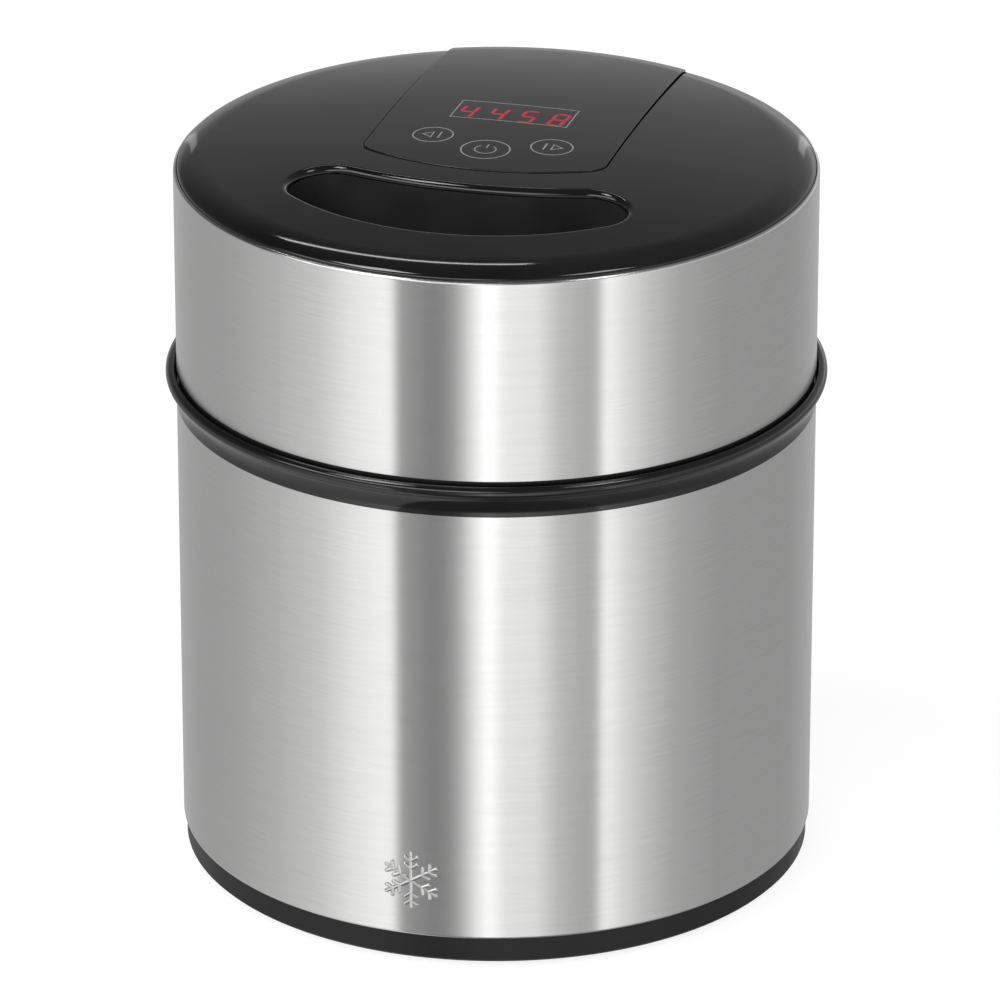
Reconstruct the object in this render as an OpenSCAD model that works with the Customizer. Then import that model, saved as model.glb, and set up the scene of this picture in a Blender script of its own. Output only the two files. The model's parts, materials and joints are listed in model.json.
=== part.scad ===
// Ice cream maker: a steel-clad housing, a lift-out freezer bowl with its paddle, and a
// lift-off head that holds the motor, the gears and the controls.
// Origin on the table under the centre, +Z up, front at -Y. Millimetres.

/* [Shells] */
// Outer radius of the two steel shells
shell_r = 112; // [111:0.5:115]
// Thickness of the steel sheet
sheet_t = 0.8; // [0.6:0.1:1]
// Height of the rubber feet below the base
foot_h = 1.5; // [1:0.5:3]
// Height of the black band at the base
base_band_h = 9.3; // [8:0.1:12]
// Height of the collar's lower edge above the table
collar_z = 170; // [168:1:180]
// How far the collar's lip stands out from the steel
lip_out = 3.8; // [3:0.1:5]
// Height of the head's steel band
band_h = 72; // [72:1:80]

/* [Top cover] */
// Height of the dome's centre above the head band's upper edge
dome_rise = 9.9; // [9.5:0.1:12]
// Drop of the dome per square millimetre of radius
dome_curve = 0.00055; // [0.0005:0.00005:0.0006]
// Radius at which the dome turns down into its shoulder
shoulder_r = 100; // [98:1:103]
// Wall thickness of the cover
cover_t = 2.5; // [2:0.1:3]

/* [Filling slot] */
// Radius of the slot's front edge, centred on the lid
slot_front_r = 82; // [80:0.5:83]
// Distance from the lid's centre to the middle of the slot's rear edge
slot_rear_y = 45.8; // [45:0.1:47]
// Radius of the slot's rear edge
slot_rear_r = 126.5; // [122:0.5:132]
// Radius of the slot's round ends
slot_end_r = 13.2; // [12:0.1:13.5]

/* [Control panel] */
// Width of the panel
panel_w = 86; // [84:1:88]
// Distance from the lid's centre to the middle of the panel's front edge
panel_front_y = 31.7; // [30:0.1:33]
// Radius of the panel's front edge
panel_front_r = 79.5; // [70:0.5:90]
// Corner radius of the panel
panel_corner_r = 8; // [3:0.5:9]
// Width of the seam round the panel
panel_seam = 0.45; // [0.3:0.05:0.6]
// Distance of the left and right key from the panel's middle
key_x = 21.5; // [20:0.5:24]
// Width and depth of the display's window
display_size = [42, 17.7];

/* [Bowl] */
// Inner radius of the bowl at its mouth
bowl_r = 78; // [76:1:79]
// Depth of the bowl inside
bowl_depth = 112; // [100:1:116]
// Outer radius of the bowl's jacket at its top
jacket_r = 99; // [98:0.5:99.5]

/* [Gears] */
// Teeth on the output gear
output_teeth = 49; // [45:1:50]
// Teeth on the two pinions
pinion_teeth = 14; // [14:1:16]
// Teeth on the idler's wheel
idler_teeth = 50; // [46:1:52]
// Module of the output pair
output_module = 1; // [0.9:0.05:1]
// Module of the motor pair
motor_module = 0.8; // [0.7:0.05:0.8]
// Backlash at the pitch circle
gear_play = 0.12; // [0.1:0.02:0.2]

/* [Hidden] */
$fn = 96;

// Gap between pieces of one body, and running clearance of a shaft in a bush
fit_gap = 0.1;
run_gap = 0.06;
shell_in_r = shell_r - sheet_t;

// Heights
shell_z = foot_h + base_band_h;
base_floor_t = 2.5;
liner_floor_z = 23.5;
liner_wall = 2.2;
trough_z = collar_z + 5.5;
lip_z = collar_z + 9.6;
band_z = collar_z + 13;
rim_z = band_z + band_h;
head_floor_z = collar_z + 6.5;
head_floor_t = 2.5;
head_top_z = head_floor_z + head_floor_t;

// Radii of the housing
band_inset = 1.1;
edge_roll = 1;
spigot_r = shell_r - 2.2;
liner_r = shell_r - 9.5;
flange_r = shell_in_r - 0.2;
lip_edge_r = 2.2;
flare_end = 78;
trough_r = shell_r - 0.2;
base_screw_r = 88;
base_screw_sink = 3;
base_boss_z = foot_h + 6.5;
foot_r = 8;
foot_ring_r = 94;

// Emblem on the front
emblem_arm = 11;
emblem_bar = 1.3;

// Lugs that stop the bowl and the head from turning
bowl_lug_angles = [30, 150, 270];
head_lug_angles = [90, 210, 330];
bowl_lug_w = 14;
head_lug_w = 10;
lug_gap = 0.6;

// Bowl
jacket_z = liner_floor_z;
jacket_foot_r = jacket_r - 4;
jacket_t = 2;
bowl_t = 1.2;
rim_top_z = collar_z + 5;
bowl_top_z = rim_top_z - 3;
bowl_floor_z = bowl_top_z - bowl_depth;
bowl_corner_r = 10;
bowl_foot_r = bowl_r - 2;
bowl_corner = [bowl_foot_r - bowl_corner_r, bowl_floor_z + bowl_corner_r];
bowl_flange_w = 6;
rim_r = liner_r - 1;
stud_r = 4.2;
stud_h = 8;

// Paddle
paddle_z = bowl_floor_z + 1;
paddle_reach = bowl_foot_r - 4;
paddle_top_z = collar_z - 1;
blade_t = 3.6;
blade_top_z = collar_z - 22;
blade_bow_r = 70;

// Head
cover_r = shell_r - edge_roll - fit_gap;
skirt_z = rim_z - 19;
shoulder_drop = dome_rise - dome_curve * cover_r * cover_r;
chute_wall = 1.8;
chute_foot_r = bowl_foot_r - 3;
head_post_r = 4.5;
head_posts = [[88, -20], [62, 72]];
head_pad_h = 3;
head_screw_sink = 2.6;
gland_z = band_z + 22;
gland_bore_r = 3.6;

// Control panel
panel_lift = 0.15;
panel_spread = 0.00007;
panel_depth = 2.3;
panel_back_r = 107;
tray_t = 2.8;
panel_front_cy = panel_front_r - panel_front_y;
corner_x = panel_w / 2 - panel_corner_r;
corner_y = panel_front_cy - sqrt(pow(panel_front_r - panel_corner_r, 2) - corner_x * corner_x);
keys = [[-key_x, -4.5], [0, -13.7], [key_x, -4.5]];
display_y = 24;
board_t = 1.6;
board_z = rim_z - 3;
board_x = 40;
board_y = [-24, 43];
board_posts = [[35, -17], [35, 38]];
board_post_r = 3;

// Centre of the slot's right end circle, which touches both arcs
rear_cy = slot_rear_r - slot_rear_y;
end_in = slot_front_r - slot_end_r;
end_y = (rear_cy * rear_cy - pow(slot_rear_r + slot_end_r, 2) + end_in * end_in) / (2 * rear_cy);
end_x = sqrt(end_in * end_in - end_y * end_y);

// Gear train: output shaft on the lid's axis, idler and rotor behind it
pressure = 20;
tooth_root = 1.2;
tooth_tip = 0.85;
idler_y = output_module * (output_teeth + pinion_teeth) / 2;
rotor_y = idler_y + motor_module * (idler_teeth + pinion_teeth) / 2;
case_z = head_top_z + 2;
case_t = 2;
case_h = 18;
output_z = case_z + case_t + 1.5;
output_h = 6;
wheel_z = output_z + output_h + 1.5;
wheel_h = 4;
lid_z = case_z + case_h;
lid_t = 2.5;
case_wells = [[0, 27], [idler_y, 23], [rotor_y, 10]];
case_wall = 2;
case_ears = [[33, 5], [26, 46]];
case_ear_h = 4;
shaft_r = 5.5;
shaft_top_r = 5;
hex_r = 5.2;
hex_gap = 0.25;
hex_len = 17;
bush_r = 8;
axle_r = 2;
pin_r = 1.5;

// Motor
motor_z = lid_z + lid_t;
motor_r = 30;
motor_h = 26;
magnet_r = 13.9;
claws = 16;

// Power board
power_at = [-66, 30];
power_size = [36, 60];
power_z = head_top_z + 11;
power_posts = [
    for (x = [-1, 1], y = [-1, 1]) power_at + [x * (power_size[0] / 2 - 4), y * (power_size[1] / 2 - 4)]
];

dome_steps = 14;
edge_steps = 8;
dome_radii = concat(
    [for (i = [0:dome_steps]) shoulder_r * i / dome_steps],
    [for (i = [1:edge_steps]) shoulder_r + (cover_r - shoulder_r) * sin(90 * i / edge_steps)]
);

// Height of the cover's outer surface at a radius
function edge_part(r) = min(1, max(0, (r - shoulder_r) / (cover_r - shoulder_r)));
function dome_z(r) =
    rim_z + dome_rise - dome_curve * r * r - shoulder_drop * (1 - sqrt(1 - pow(edge_part(r), 2)));

// Points of an arc from angle a to angle b; path_arc leaves out the last one, for a path that goes on
function on_arc(c, r, a) = c + r * [cos(a), sin(a)];
function path_arc(c, r, a, b, n) = [for (i = [0:n - 1]) on_arc(c, r, a + (b - a) * i / n)];
function arc(c, r, a, b, n = 6) = concat(path_arc(c, r, a, b, n), [on_arc(c, r, b)]);
function reversed(list) = [for (i = [len(list) - 1:-1:0]) list[i]];

// Involute tooth: half its angular thickness at a radius
function inv(a) = tan(a) - a * PI / 180;
function half_tooth(n, m, r) =
    let (pitch_r = n * m / 2, base_r = pitch_r * cos(pressure))
    90 / n + (inv(pressure) - inv(acos(min(1, base_r / r))) - gear_play / (2 * pitch_r)) * 180 / PI;
// One side of a tooth from root to tip: radius and half thickness
function tooth_flank(n, m) =
    let (pitch_r = n * m / 2, root = pitch_r - tooth_root * m, tip = pitch_r + tooth_tip * m)
    let (start = max(root, pitch_r * cos(pressure)), step = (tip - start) / 3)
    concat(
        [[root, half_tooth(n, m, start)]],
        [for (i = [0:3]) [start + step * i, half_tooth(n, m, start + step * i)]]
    );

module ring(outer, inner, z0, z1) {
    difference() {
        translate([0, 0, z0]) cylinder(r = outer, h = z1 - z0);
        translate([0, 0, z0 - 1]) cylinder(r = inner, h = z1 - z0 + 2);
    }
}

module rod(r, z0, z1) {
    translate([0, 0, z0]) cylinder(r = r, h = z1 - z0);
}

// Block centred on x, from y0 to y1 and z0 to z1
module block(w, y0, y1, z0, z1) {
    translate([-w / 2, y0, z0]) cube([w, y1 - y0, z1 - z0]);
}

// Children once on each side of the YZ plane
module both_sides() {
    children();
    mirror([1, 0, 0]) children();
}

// Children at each of four places round the axis, the first at an angle
module four_round(radius, start = 0) {
    for (a = [0:90:270]) rotate([0, 0, start + a]) translate([radius, 0, 0]) children();
}

// Children at each of the given points
module at_each(points) {
    for (p = points) translate(p) children();
}

// Flat outline of a gear with a tooth centred on +X
module gear_outline(n, m) {
    flank = tooth_flank(n, m);
    points = [
        for (i = [0:n - 1], side = [-1, 1], p = side < 0 ? flank : reversed(flank))
            p[0] * [cos(360 * i / n + side * p[1]), sin(360 * i / n + side * p[1])]
    ];
    polygon(points);
}

module gear(n, m, phase, z, h) {
    translate([0, 0, z]) rotate([0, 0, phase]) linear_extrude(h) gear_outline(n, m);
}

// Self-tapping screw with its head at the bottom, seat at z
module screw(z, length, r = 1.4, head_r = 3.2, head_h = 2) {
    rod(head_r, z - head_h, z);
    rod(r, z, z + length);
}

// The same with its head on top
module screw_down(z, length, r, head_r, head_h) {
    translate([0, 0, z]) rotate([180, 0, 0]) screw(0, length, r, head_r, head_h);
}

// Tube of radius r swept along a list of points
module wire(points, r) {
    sides = 8;
    last = len(points) - 1;
    function way(i) = points[min(last, i + 1)] - points[max(0, i - 1)];
    function across(i) = let (c = cross(way(i), [0.31, 0.17, 0.93])) c / norm(c);
    function up(i) = let (c = cross(across(i), way(i))) c / norm(c);
    skin = [
        for (i = [0:last], k = [0:sides - 1])
            points[i] + r * (cos(360 * k / sides) * across(i) + sin(360 * k / sides) * up(i))
    ];
    walls = [
        for (i = [0:last - 1], k = [0:sides - 1])
            let (a = i * sides + k, b = i * sides + (k + 1) % sides)
            [a, b, b + sides, a + sides]
    ];
    ends = [[for (k = [sides - 1:-1:0]) k], [for (k = [0:sides - 1]) last * sides + k]];
    polyhedron(points = skin, faces = concat(walls, ends));
}

// Solid between two offsets from the cover's outer surface; spread lifts its top outwards
module dome_slab(low, high, spread = 0) {
    top = [for (r = dome_radii) [r, dome_z(r) + high + spread * r * r]];
    bottom = [for (r = reversed(dome_radii)) [r, dome_z(r) + low]];
    rotate_extrude() polygon(concat(top, bottom));
}

// Slot: front arc, right end, rear arc and left end, each running into the next
module slot_outline(grow = 0) {
    front_a = atan2(end_y, end_x);
    rear_a = atan2(end_y - rear_cy, end_x);
    end_r = slot_end_r + grow;
    polygon(concat(
        path_arc([0, 0], slot_front_r + grow, -180 - front_a, front_a, 24),
        path_arc([end_x, end_y], end_r, front_a, rear_a + 180, 14),
        path_arc([0, rear_cy], slot_rear_r - grow, rear_a, -180 - rear_a, 16),
        path_arc([-end_x, end_y], end_r, -rear_a, 180 - front_a, 14)
    ));
}

// Panel: bowed front edge, rounded front corners, straight sides and a round back
module panel_outline(grow = 0) {
    corner_a = atan2(corner_y - panel_front_cy, corner_x);
    back_r = panel_back_r + grow;
    back_a = acos((panel_w / 2 + grow) / back_r);
    corner_r = panel_corner_r + grow;
    polygon(concat(
        path_arc([0, panel_front_cy], panel_front_r + grow, -180 - corner_a, corner_a, 16),
        path_arc([corner_x, corner_y], corner_r, corner_a, 0, 5),
        [[panel_w / 2 + grow, corner_y]],
        arc([0, 0], back_r, back_a, 180 - back_a, 16),
        path_arc([-corner_x, corner_y], corner_r, 180, 180 - corner_a, 5)
    ));
}

// ---- Housing ----

module rubber_feet() {
    color("dimgray")
    four_round(foot_ring_r, 45) {
        rod(foot_r - 1, 0, foot_h + 1);
        rod(foot_r, 0.6, foot_h);
    }
}

module base_pan() {
    pan = [
        [0, foot_h],
        [shell_r - band_inset - 1, foot_h],
        [shell_r - band_inset, foot_h + 1],
        [shell_r - band_inset, shell_z],
        [spigot_r, shell_z],
        [spigot_r, liner_floor_z],
        [spigot_r - liner_wall, liner_floor_z],
        [spigot_r - liner_wall, foot_h + base_floor_t],
        [0, foot_h + base_floor_t]
    ];
    color("black")
    difference() {
        union() {
            rotate_extrude() polygon(pan);
            four_round(base_screw_r) rod(7, foot_h + 1, base_boss_z);
        }
        four_round(base_screw_r) {
            rod(4, foot_h - 1, foot_h + base_screw_sink);
            rod(1.8, foot_h, base_boss_z + 1);
        }
        four_round(foot_ring_r, 45) rod(foot_r - 1, foot_h - 1, foot_h + 1);
    }
}

module lower_shell() {
    outer = arc([shell_r - edge_roll, shell_z + edge_roll], edge_roll, -90, 0);
    inner = arc([shell_r - edge_roll, shell_z + edge_roll], edge_roll - sheet_t, 0, -90);
    lip_r = spigot_r + 0.2;
    color("lightgray")
    rotate_extrude()
    polygon(concat(
        [[lip_r, shell_z]],
        outer,
        [[shell_r, collar_z], [shell_in_r, collar_z]],
        inner,
        [[lip_r, shell_z + sheet_t]]
    ));
}

module snowflake_outline(arm, bar) {
    for (a = [0:60:300]) rotate(a) {
        translate([0, -bar / 2]) square([arm, bar]);
        for (reach = [0.42, 0.68], side = [-1, 1])
            translate([arm * reach, 0]) rotate(side * 55) translate([0, -bar / 2]) square([arm * 0.3, bar]);
    }
}

module snowflake_emblem() {
    color("silver")
    intersection() {
        ring(shell_r + 0.5, shell_r, 15, 50);
        translate([0, -shell_r + 10, shell_z + 21]) rotate([90, 90, 0])
            linear_extrude(20) snowflake_outline(emblem_arm, emblem_bar);
    }
}

module inner_liner() {
    color("whitesmoke")
    difference() {
        union() {
            ring(liner_r + liner_wall, liner_r, liner_floor_z - 2.5, collar_z + 2);
            rod(liner_r + 1, liner_floor_z - 2.5, liner_floor_z);
            ring(flange_r, liner_r, collar_z - 0.5, collar_z + 2);
            four_round(base_screw_r) rod(4.5, base_boss_z, liner_floor_z - 1);
        }
        four_round(base_screw_r) rod(1.5, base_boss_z - 1, liner_floor_z - 3);
    }
}

// Point on the collar's flared outside, from 0 at its foot to flare_end at the lip
function flare(t) = [
    shell_r + 0.3 + (lip_out - 0.3 - lip_edge_r / 2) * (1 - cos(t)) / (1 - cos(flare_end)),
    collar_z + (lip_z - lip_edge_r * sin(60) - collar_z) * sin(t) / sin(flare_end)
];

module collar_ring() {
    profile = concat(
        [for (i = [0:7]) flare(flare_end * i / 8)],
        arc([shell_r + lip_out - lip_edge_r, lip_z], lip_edge_r, -60, 114),
        [
            [shell_r + 0.5, trough_z + 2],
            [trough_r, trough_z],
            [liner_r, trough_z],
            [liner_r, collar_z + 2],
            [flange_r + fit_gap, collar_z + 2],
            [flange_r + fit_gap, collar_z]
        ]
    );
    color([0.08, 0.08, 0.08])
    difference() {
        rotate_extrude() polygon(profile);
        for (a = bowl_lug_angles) rotate([0, 0, a - 90])
            block(bowl_lug_w + 2 * lug_gap, liner_r - 2, liner_r + 3.6, collar_z, trough_z + 1);
        for (a = head_lug_angles) rotate([0, 0, a - 90])
            block(head_lug_w + 2 * lug_gap, shell_r - 5.4, shell_r - 1.2, collar_z + 1, trough_z + 1);
    }
}

module base_screws() {
    color("silver")
    four_round(base_screw_r) screw(foot_h + base_screw_sink, 11);
}

// ---- Freezer bowl ----

// Radius of the bowl's inner wall at a height
function bowl_wall_r(z) = bowl_foot_r + (bowl_r - bowl_foot_r) * (z - bowl_floor_z) / bowl_depth;

function bowl_profile(out) = concat(
    arc(bowl_corner, bowl_corner_r + out, -90, 0),
    [[bowl_r + out, bowl_top_z - (out > 0 ? bowl_t : 0)]]
);

module bowl_inner() {
    flange_end = bowl_r + bowl_t + bowl_flange_w;
    color("silver")
    union() {
        rotate_extrude()
        polygon(concat(
            [[0, bowl_floor_z - bowl_t]],
            bowl_profile(bowl_t),
            [[flange_end, bowl_top_z - bowl_t], [flange_end, bowl_top_z]],
            reversed(bowl_profile(0)),
            [[0, bowl_floor_z]]
        ));
        rod(stud_r, bowl_floor_z - bowl_t / 2, bowl_floor_z + stud_h);
    }
}

module bowl_jacket() {
    top_z = bowl_top_z - bowl_t - fit_gap;
    color("gainsboro")
    rotate_extrude()
    polygon([
        [0, jacket_z],
        [jacket_foot_r - 3, jacket_z],
        [jacket_foot_r, jacket_z + 3],
        [jacket_r, top_z],
        [jacket_r - jacket_t, top_z],
        [jacket_foot_r - jacket_t, jacket_z + 3 + jacket_t],
        [jacket_foot_r - jacket_t - 3, jacket_z + jacket_t],
        [0, jacket_z + jacket_t]
    ]);
}

module bowl_rim() {
    under_z = bowl_top_z - bowl_t;
    step_r = bowl_r + bowl_t + bowl_flange_w + fit_gap;
    color("whitesmoke")
    union() {
        rotate_extrude()
        polygon(concat(
            [[bowl_r + 0.2, bowl_top_z]],
            arc([bowl_r + 2.2, rim_top_z - 2], 2, 180, 90, 4),
            arc([rim_r - 2, rim_top_z - 2], 2, 90, 0, 4),
            [
                [rim_r, under_z - 11],
                [jacket_r + 0.6, under_z - 11],
                [jacket_r + 0.6, under_z],
                [step_r, under_z],
                [step_r, bowl_top_z]
            ]
        ));
        for (a = bowl_lug_angles) rotate([0, 0, a - 90])
            block(bowl_lug_w, rim_r - 2, liner_r + 2.8, collar_z + 2.3, rim_top_z - 1);
    }
}

module coolant_fill() {
    gap = 0.2;
    level = bowl_top_z - 12;
    slope = (jacket_r - jacket_foot_r) / (bowl_top_z - jacket_z);
    color([0.55, 0.75, 0.95])
    rotate_extrude()
    polygon(concat(
        [[0, jacket_z + jacket_t + gap]],
        [
            [jacket_foot_r - jacket_t - 3 - gap, jacket_z + jacket_t + gap],
            [jacket_foot_r - jacket_t - 2 * gap, jacket_z + jacket_t + 3 + 2 * gap],
            [jacket_foot_r - jacket_t - 2 * gap + slope * (level - jacket_z - 6), level],
            [bowl_wall_r(level) + bowl_t + 2 * gap, level]
        ],
        arc(bowl_corner, bowl_corner_r + bowl_t + 2 * gap, 0, -90),
        [[0, bowl_floor_z - bowl_t - 2 * gap]]
    ));
}

// ---- Paddle ----

// One bowed blade reaching to +X, as a flat outline
module blade_outline() {
    intersection() {
        translate([paddle_reach / 2, -blade_bow_r + 9]) difference() {
            circle(r = blade_bow_r + blade_t / 2);
            circle(r = blade_bow_r - blade_t / 2);
        }
        translate([0, -30]) square([paddle_reach, 60]);
    }
}

// Space that the blades sweep, rounded like the bowl's foot
module blade_sweep() {
    rotate_extrude()
    polygon(concat(
        [[0, paddle_z]],
        arc([paddle_reach - bowl_corner_r, paddle_z + bowl_corner_r], bowl_corner_r, -90, 0),
        arc([paddle_reach - 4, blade_top_z - 4], 4, 0, 90, 4),
        [[0, blade_top_z]]
    ));
}

module paddle() {
    window_w = (paddle_reach - 26) / 2;
    color("white")
    difference() {
        union() {
            for (a = [0, 180]) rotate([0, 0, a]) difference() {
                intersection() {
                    translate([0, 0, paddle_z]) linear_extrude(blade_top_z - paddle_z) blade_outline();
                    blade_sweep();
                }
                for (i = [0, 1], z = [paddle_z + 10, paddle_z + 48])
                    translate([13 + i * (window_w + 6), -30, z]) cube([window_w, 60, 30]);
            }
            rod(9, paddle_z, paddle_z + 14);
            rod(7, paddle_z + 10, paddle_top_z - hex_len - 6);
            rod(11, paddle_top_z - hex_len - 8, paddle_top_z);
        }
        rod(stud_r + run_gap, paddle_z - 1, bowl_floor_z + stud_h + 1);
        translate([0, 0, paddle_top_z - hex_len]) cylinder(r = hex_r + hex_gap, h = hex_len + 1, $fn = 6);
    }
}

// ---- Head, outside ----

module head_base() {
    wall = 2.4;
    profile = [
        [0, head_floor_z],
        [shell_r - 3.1, head_floor_z],
        [shell_r - 3.1, trough_z],
        [shell_r - 0.8, trough_z],
        [shell_r - 0.8, band_z - 1.5],
        [shell_r, band_z - 1.5],
        [shell_r, band_z],
        [shell_in_r - fit_gap, band_z],
        [shell_in_r - fit_gap, band_z + 12],
        [shell_in_r - fit_gap - wall, band_z + 12],
        [shell_in_r - fit_gap - wall, head_top_z],
        [0, head_top_z]
    ];
    color([0.1, 0.1, 0.1])
    difference() {
        union() {
            rotate_extrude() polygon(profile);
            rod(12, head_top_z - 1, case_z);
            ring(12.5, 9.6, head_floor_z - 3, head_floor_z + 1);
            both_sides() {
                at_each(head_posts) rod(7, head_top_z - 1, head_top_z + head_pad_h);
                at_each(case_ears) rod(4, head_top_z - 1, case_z);
            }
            at_each(power_posts) rod(3.5, head_top_z - 1, power_z);
            for (a = head_lug_angles) rotate([0, 0, a - 90])
                block(head_lug_w, shell_r - 4.8, shell_r - 1.8, trough_z - 2.3, trough_z + 2);
        }
        rod(bush_r + fit_gap, head_floor_z - 5, case_z + 1);
        both_sides() {
            at_each(head_posts) {
                rod(3.8, head_floor_z - 1, head_floor_z + head_screw_sink);
                rod(1.8, head_floor_z, head_top_z + head_pad_h + 1);
            }
            at_each(case_ears) rod(1.3, head_floor_z + 1.2, case_z + 1);
        }
        at_each(power_posts) rod(1.2, head_top_z + 1, power_z + 1);
        intersection() {
            translate([0, 0, head_floor_z - 1]) linear_extrude(10) slot_outline(chute_wall + 0.2);
            chute_cone(chute_wall + 0.2, head_floor_z - 1);
        }
    }
}

module head_band() {
    outer = arc([shell_r - edge_roll, rim_z - edge_roll], edge_roll, 0, 90);
    inner = arc([shell_r - edge_roll, rim_z - edge_roll], edge_roll - sheet_t, 90, 0);
    color("lightgray")
    difference() {
        rotate_extrude()
        polygon(concat([[shell_in_r, band_z], [shell_r, band_z]], outer, inner));
        translate([0, shell_r - 5, gland_z]) rotate([-90, 0, 0]) cylinder(r = 6, h = 10);
    }
}

module top_cover() {
    tops = [for (r = dome_radii) [r, dome_z(r)]];
    inside_r = cover_r - cover_t;
    skirt = [[cover_r, skirt_z], [inside_r, skirt_z], [inside_r, dome_z(inside_r) - cover_t]];
    ceiling = [for (r = reversed(dome_radii)) if (r < inside_r - 0.2) [r, dome_z(r) - cover_t]];
    color([0.03, 0.03, 0.03])
    difference() {
        union() {
            rotate_extrude() polygon(concat(tops, skirt, ceiling));
            intersection() {
                dome_slab(-panel_depth - fit_gap - tray_t, -1);
                rod(inside_r + 0.5, rim_z - 20, rim_z + 20);
                translate([0, 0, rim_z - 20]) linear_extrude(40) panel_outline(3);
            }
            both_sides() {
                for (p = head_posts) translate(p)
                    rod(head_post_r, head_top_z + head_pad_h, dome_z(norm(p) + head_post_r) - 1);
                for (p = board_posts) translate(p)
                    rod(board_post_r, board_z + board_t, dome_z(norm(p) + board_post_r) - panel_depth - 1);
            }
        }
        intersection() {
            dome_slab(-panel_depth - fit_gap, 4);
            translate([0, 0, rim_z - 20]) linear_extrude(40) panel_outline(panel_seam);
        }
        translate([0, 0, rim_z - 20]) linear_extrude(40) slot_outline();
        translate([0, display_y, rim_z])
            cube([display_size[0] + 2, display_size[1] + 2, 30], center = true);
        at_each(keys) rod(6, rim_z - 10, rim_z + 20);
        both_sides() {
            at_each(head_posts) rod(1.5, head_top_z, head_top_z + 30);
            at_each(board_posts) rod(1.2, board_z, board_z + 7);
        }
    }
}

module control_panel() {
    color([0.02, 0.02, 0.02])
    intersection() {
        dome_slab(-panel_depth, panel_lift, panel_spread);
        translate([0, 0, rim_z - 20]) linear_extrude(40) panel_outline();
    }
}

// Cone that leads the chute's front wall inwards, from the slot down to the bowl's mouth
module chute_cone(grow, z0) {
    top_z = rim_z + dome_rise;
    slope = (slot_front_r - chute_foot_r) / (top_z - head_floor_z);
    foot = chute_foot_r + grow - (head_floor_z - z0) * slope;
    translate([0, 0, z0]) cylinder(r1 = foot, r2 = slot_front_r + 1 + grow, h = top_z - z0);
}

module fill_chute() {
    color([0.05, 0.05, 0.05])
    difference() {
        intersection() {
            translate([0, 0, head_floor_z]) linear_extrude(100) slot_outline(chute_wall);
            chute_cone(chute_wall, head_floor_z);
            difference() {
                rod(cover_r, head_floor_z - 1, rim_z + 20);
                dome_slab(-cover_t - fit_gap, 30);
            }
        }
        intersection() {
            translate([0, 0, head_floor_z - 5]) linear_extrude(110) slot_outline();
            chute_cone(0, head_floor_z - 5);
        }
    }
}

module cord_gland() {
    color([0.06, 0.06, 0.06])
    translate([0, shell_r, gland_z]) rotate([-90, 0, 0])
    difference() {
        union() {
            rod(8, 0.3, 2.6);
            rod(5.8, -8, 0.4);
            rod(7.5, -8, -4);
        }
        rod(gland_bore_r, -9, 4);
    }
}

module head_screws() {
    color("silver")
    both_sides() at_each(head_posts) screw(head_floor_z + head_screw_sink, 20);
}

// ---- Head, electrics ----

module led_display() {
    top_z = dome_z(display_y + display_size[1] / 2 + 3) - panel_depth - 0.3;
    color([0.15, 0.02, 0.02])
    translate([0, display_y, board_z + board_t]) translate([-display_size[0] / 2, -display_size[1] / 2])
        cube([display_size[0], display_size[1], top_z - board_z - board_t]);
}

module touch_springs() {
    turns = 3;
    steps = 16;
    coil_r = 4;
    low = board_z + board_t + 0.5;
    color("goldenrod")
    for (k = keys) {
        rise = (dome_z(norm(k) + 5) - panel_depth - 0.7 - low) / turns / steps;
        wire([
            for (i = [0:turns * steps])
                [k[0] + coil_r * cos(360 * i / steps), k[1] + coil_r * sin(360 * i / steps), low + rise * i]
        ], 0.4);
    }
}

module control_board() {
    color("darkgreen")
    difference() {
        translate([-board_x, board_y[0], board_z]) cube([2 * board_x, board_y[1] - board_y[0], board_t]);
        both_sides() at_each(board_posts) rod(1.5, board_z - 1, board_z + 3);
    }
}

module board_screws() {
    color("silver")
    both_sides() at_each(board_posts) screw(board_z, 7, 1.1, 2.4, 1.4);
}

module power_board() {
    color("seagreen")
    difference() {
        translate([power_at[0] - power_size[0] / 2, power_at[1] - power_size[1] / 2, power_z])
            cube([power_size[0], power_size[1], board_t]);
        at_each(power_posts) rod(1.5, power_z - 1, power_z + 3);
    }
}

module power_board_screws() {
    color("silver")
    at_each(power_posts) screw_down(power_z + board_t, 8, 1.1, 2.4, 1.4);
}

// A component's body on the power board, at an offset from the board's middle
module on_power_board(x, y) {
    translate([power_at[0] + x, power_at[1] + y, power_z + board_t]) children();
}

module transformer() {
    color("gold")
    on_power_board(0, 10) {
        translate([-9, -8, 0]) cube([18, 16, 3]);
        translate([-11, -10, 3]) cube([22, 20, 12]);
    }
}

module relay() {
    color("royalblue")
    on_power_board(-1, -16) translate([-8, -6, 0]) cube([16, 12, 14]);
}

module capacitor() {
    color("darkslateblue")
    on_power_board(0, -5.2) rod(4.2, 0, 14);
}

module ribbon_cable() {
    low = power_z + board_t;
    color("lightsteelblue")
    translate([0, power_at[1] + 4, 0]) rotate([90, 0, 0]) linear_extrude(12)
    polygon([
        [-52, low],
        [-50, low + 4],
        [-50, board_z - 6],
        [-47, board_z - 3],
        [-38, board_z - 3],
        [-38, board_z],
        [-37, board_z],
        [-37, board_z - 4],
        [-46.6, board_z - 4],
        [-49, board_z - 6.4],
        [-49, low + 4],
        [-51, low]
    ]);
}

module motor_leads() {
    low = power_z + board_t;
    color("firebrick")
    for (i = [0, 1]) {
        start = [-53, 46 + 4 * i, low + 1];
        end = [-motor_r - 0.2, rotor_y - 4 + 4 * i, motor_z + 8];
        bend = [-45, 50 + 4 * i, low + 18];
        wire([for (t = [0:0.1:1]) (1 - t) * (1 - t) * start + 2 * t * (1 - t) * bend + t * t * end], 0.8);
    }
}

// ---- Head, drive ----

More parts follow.
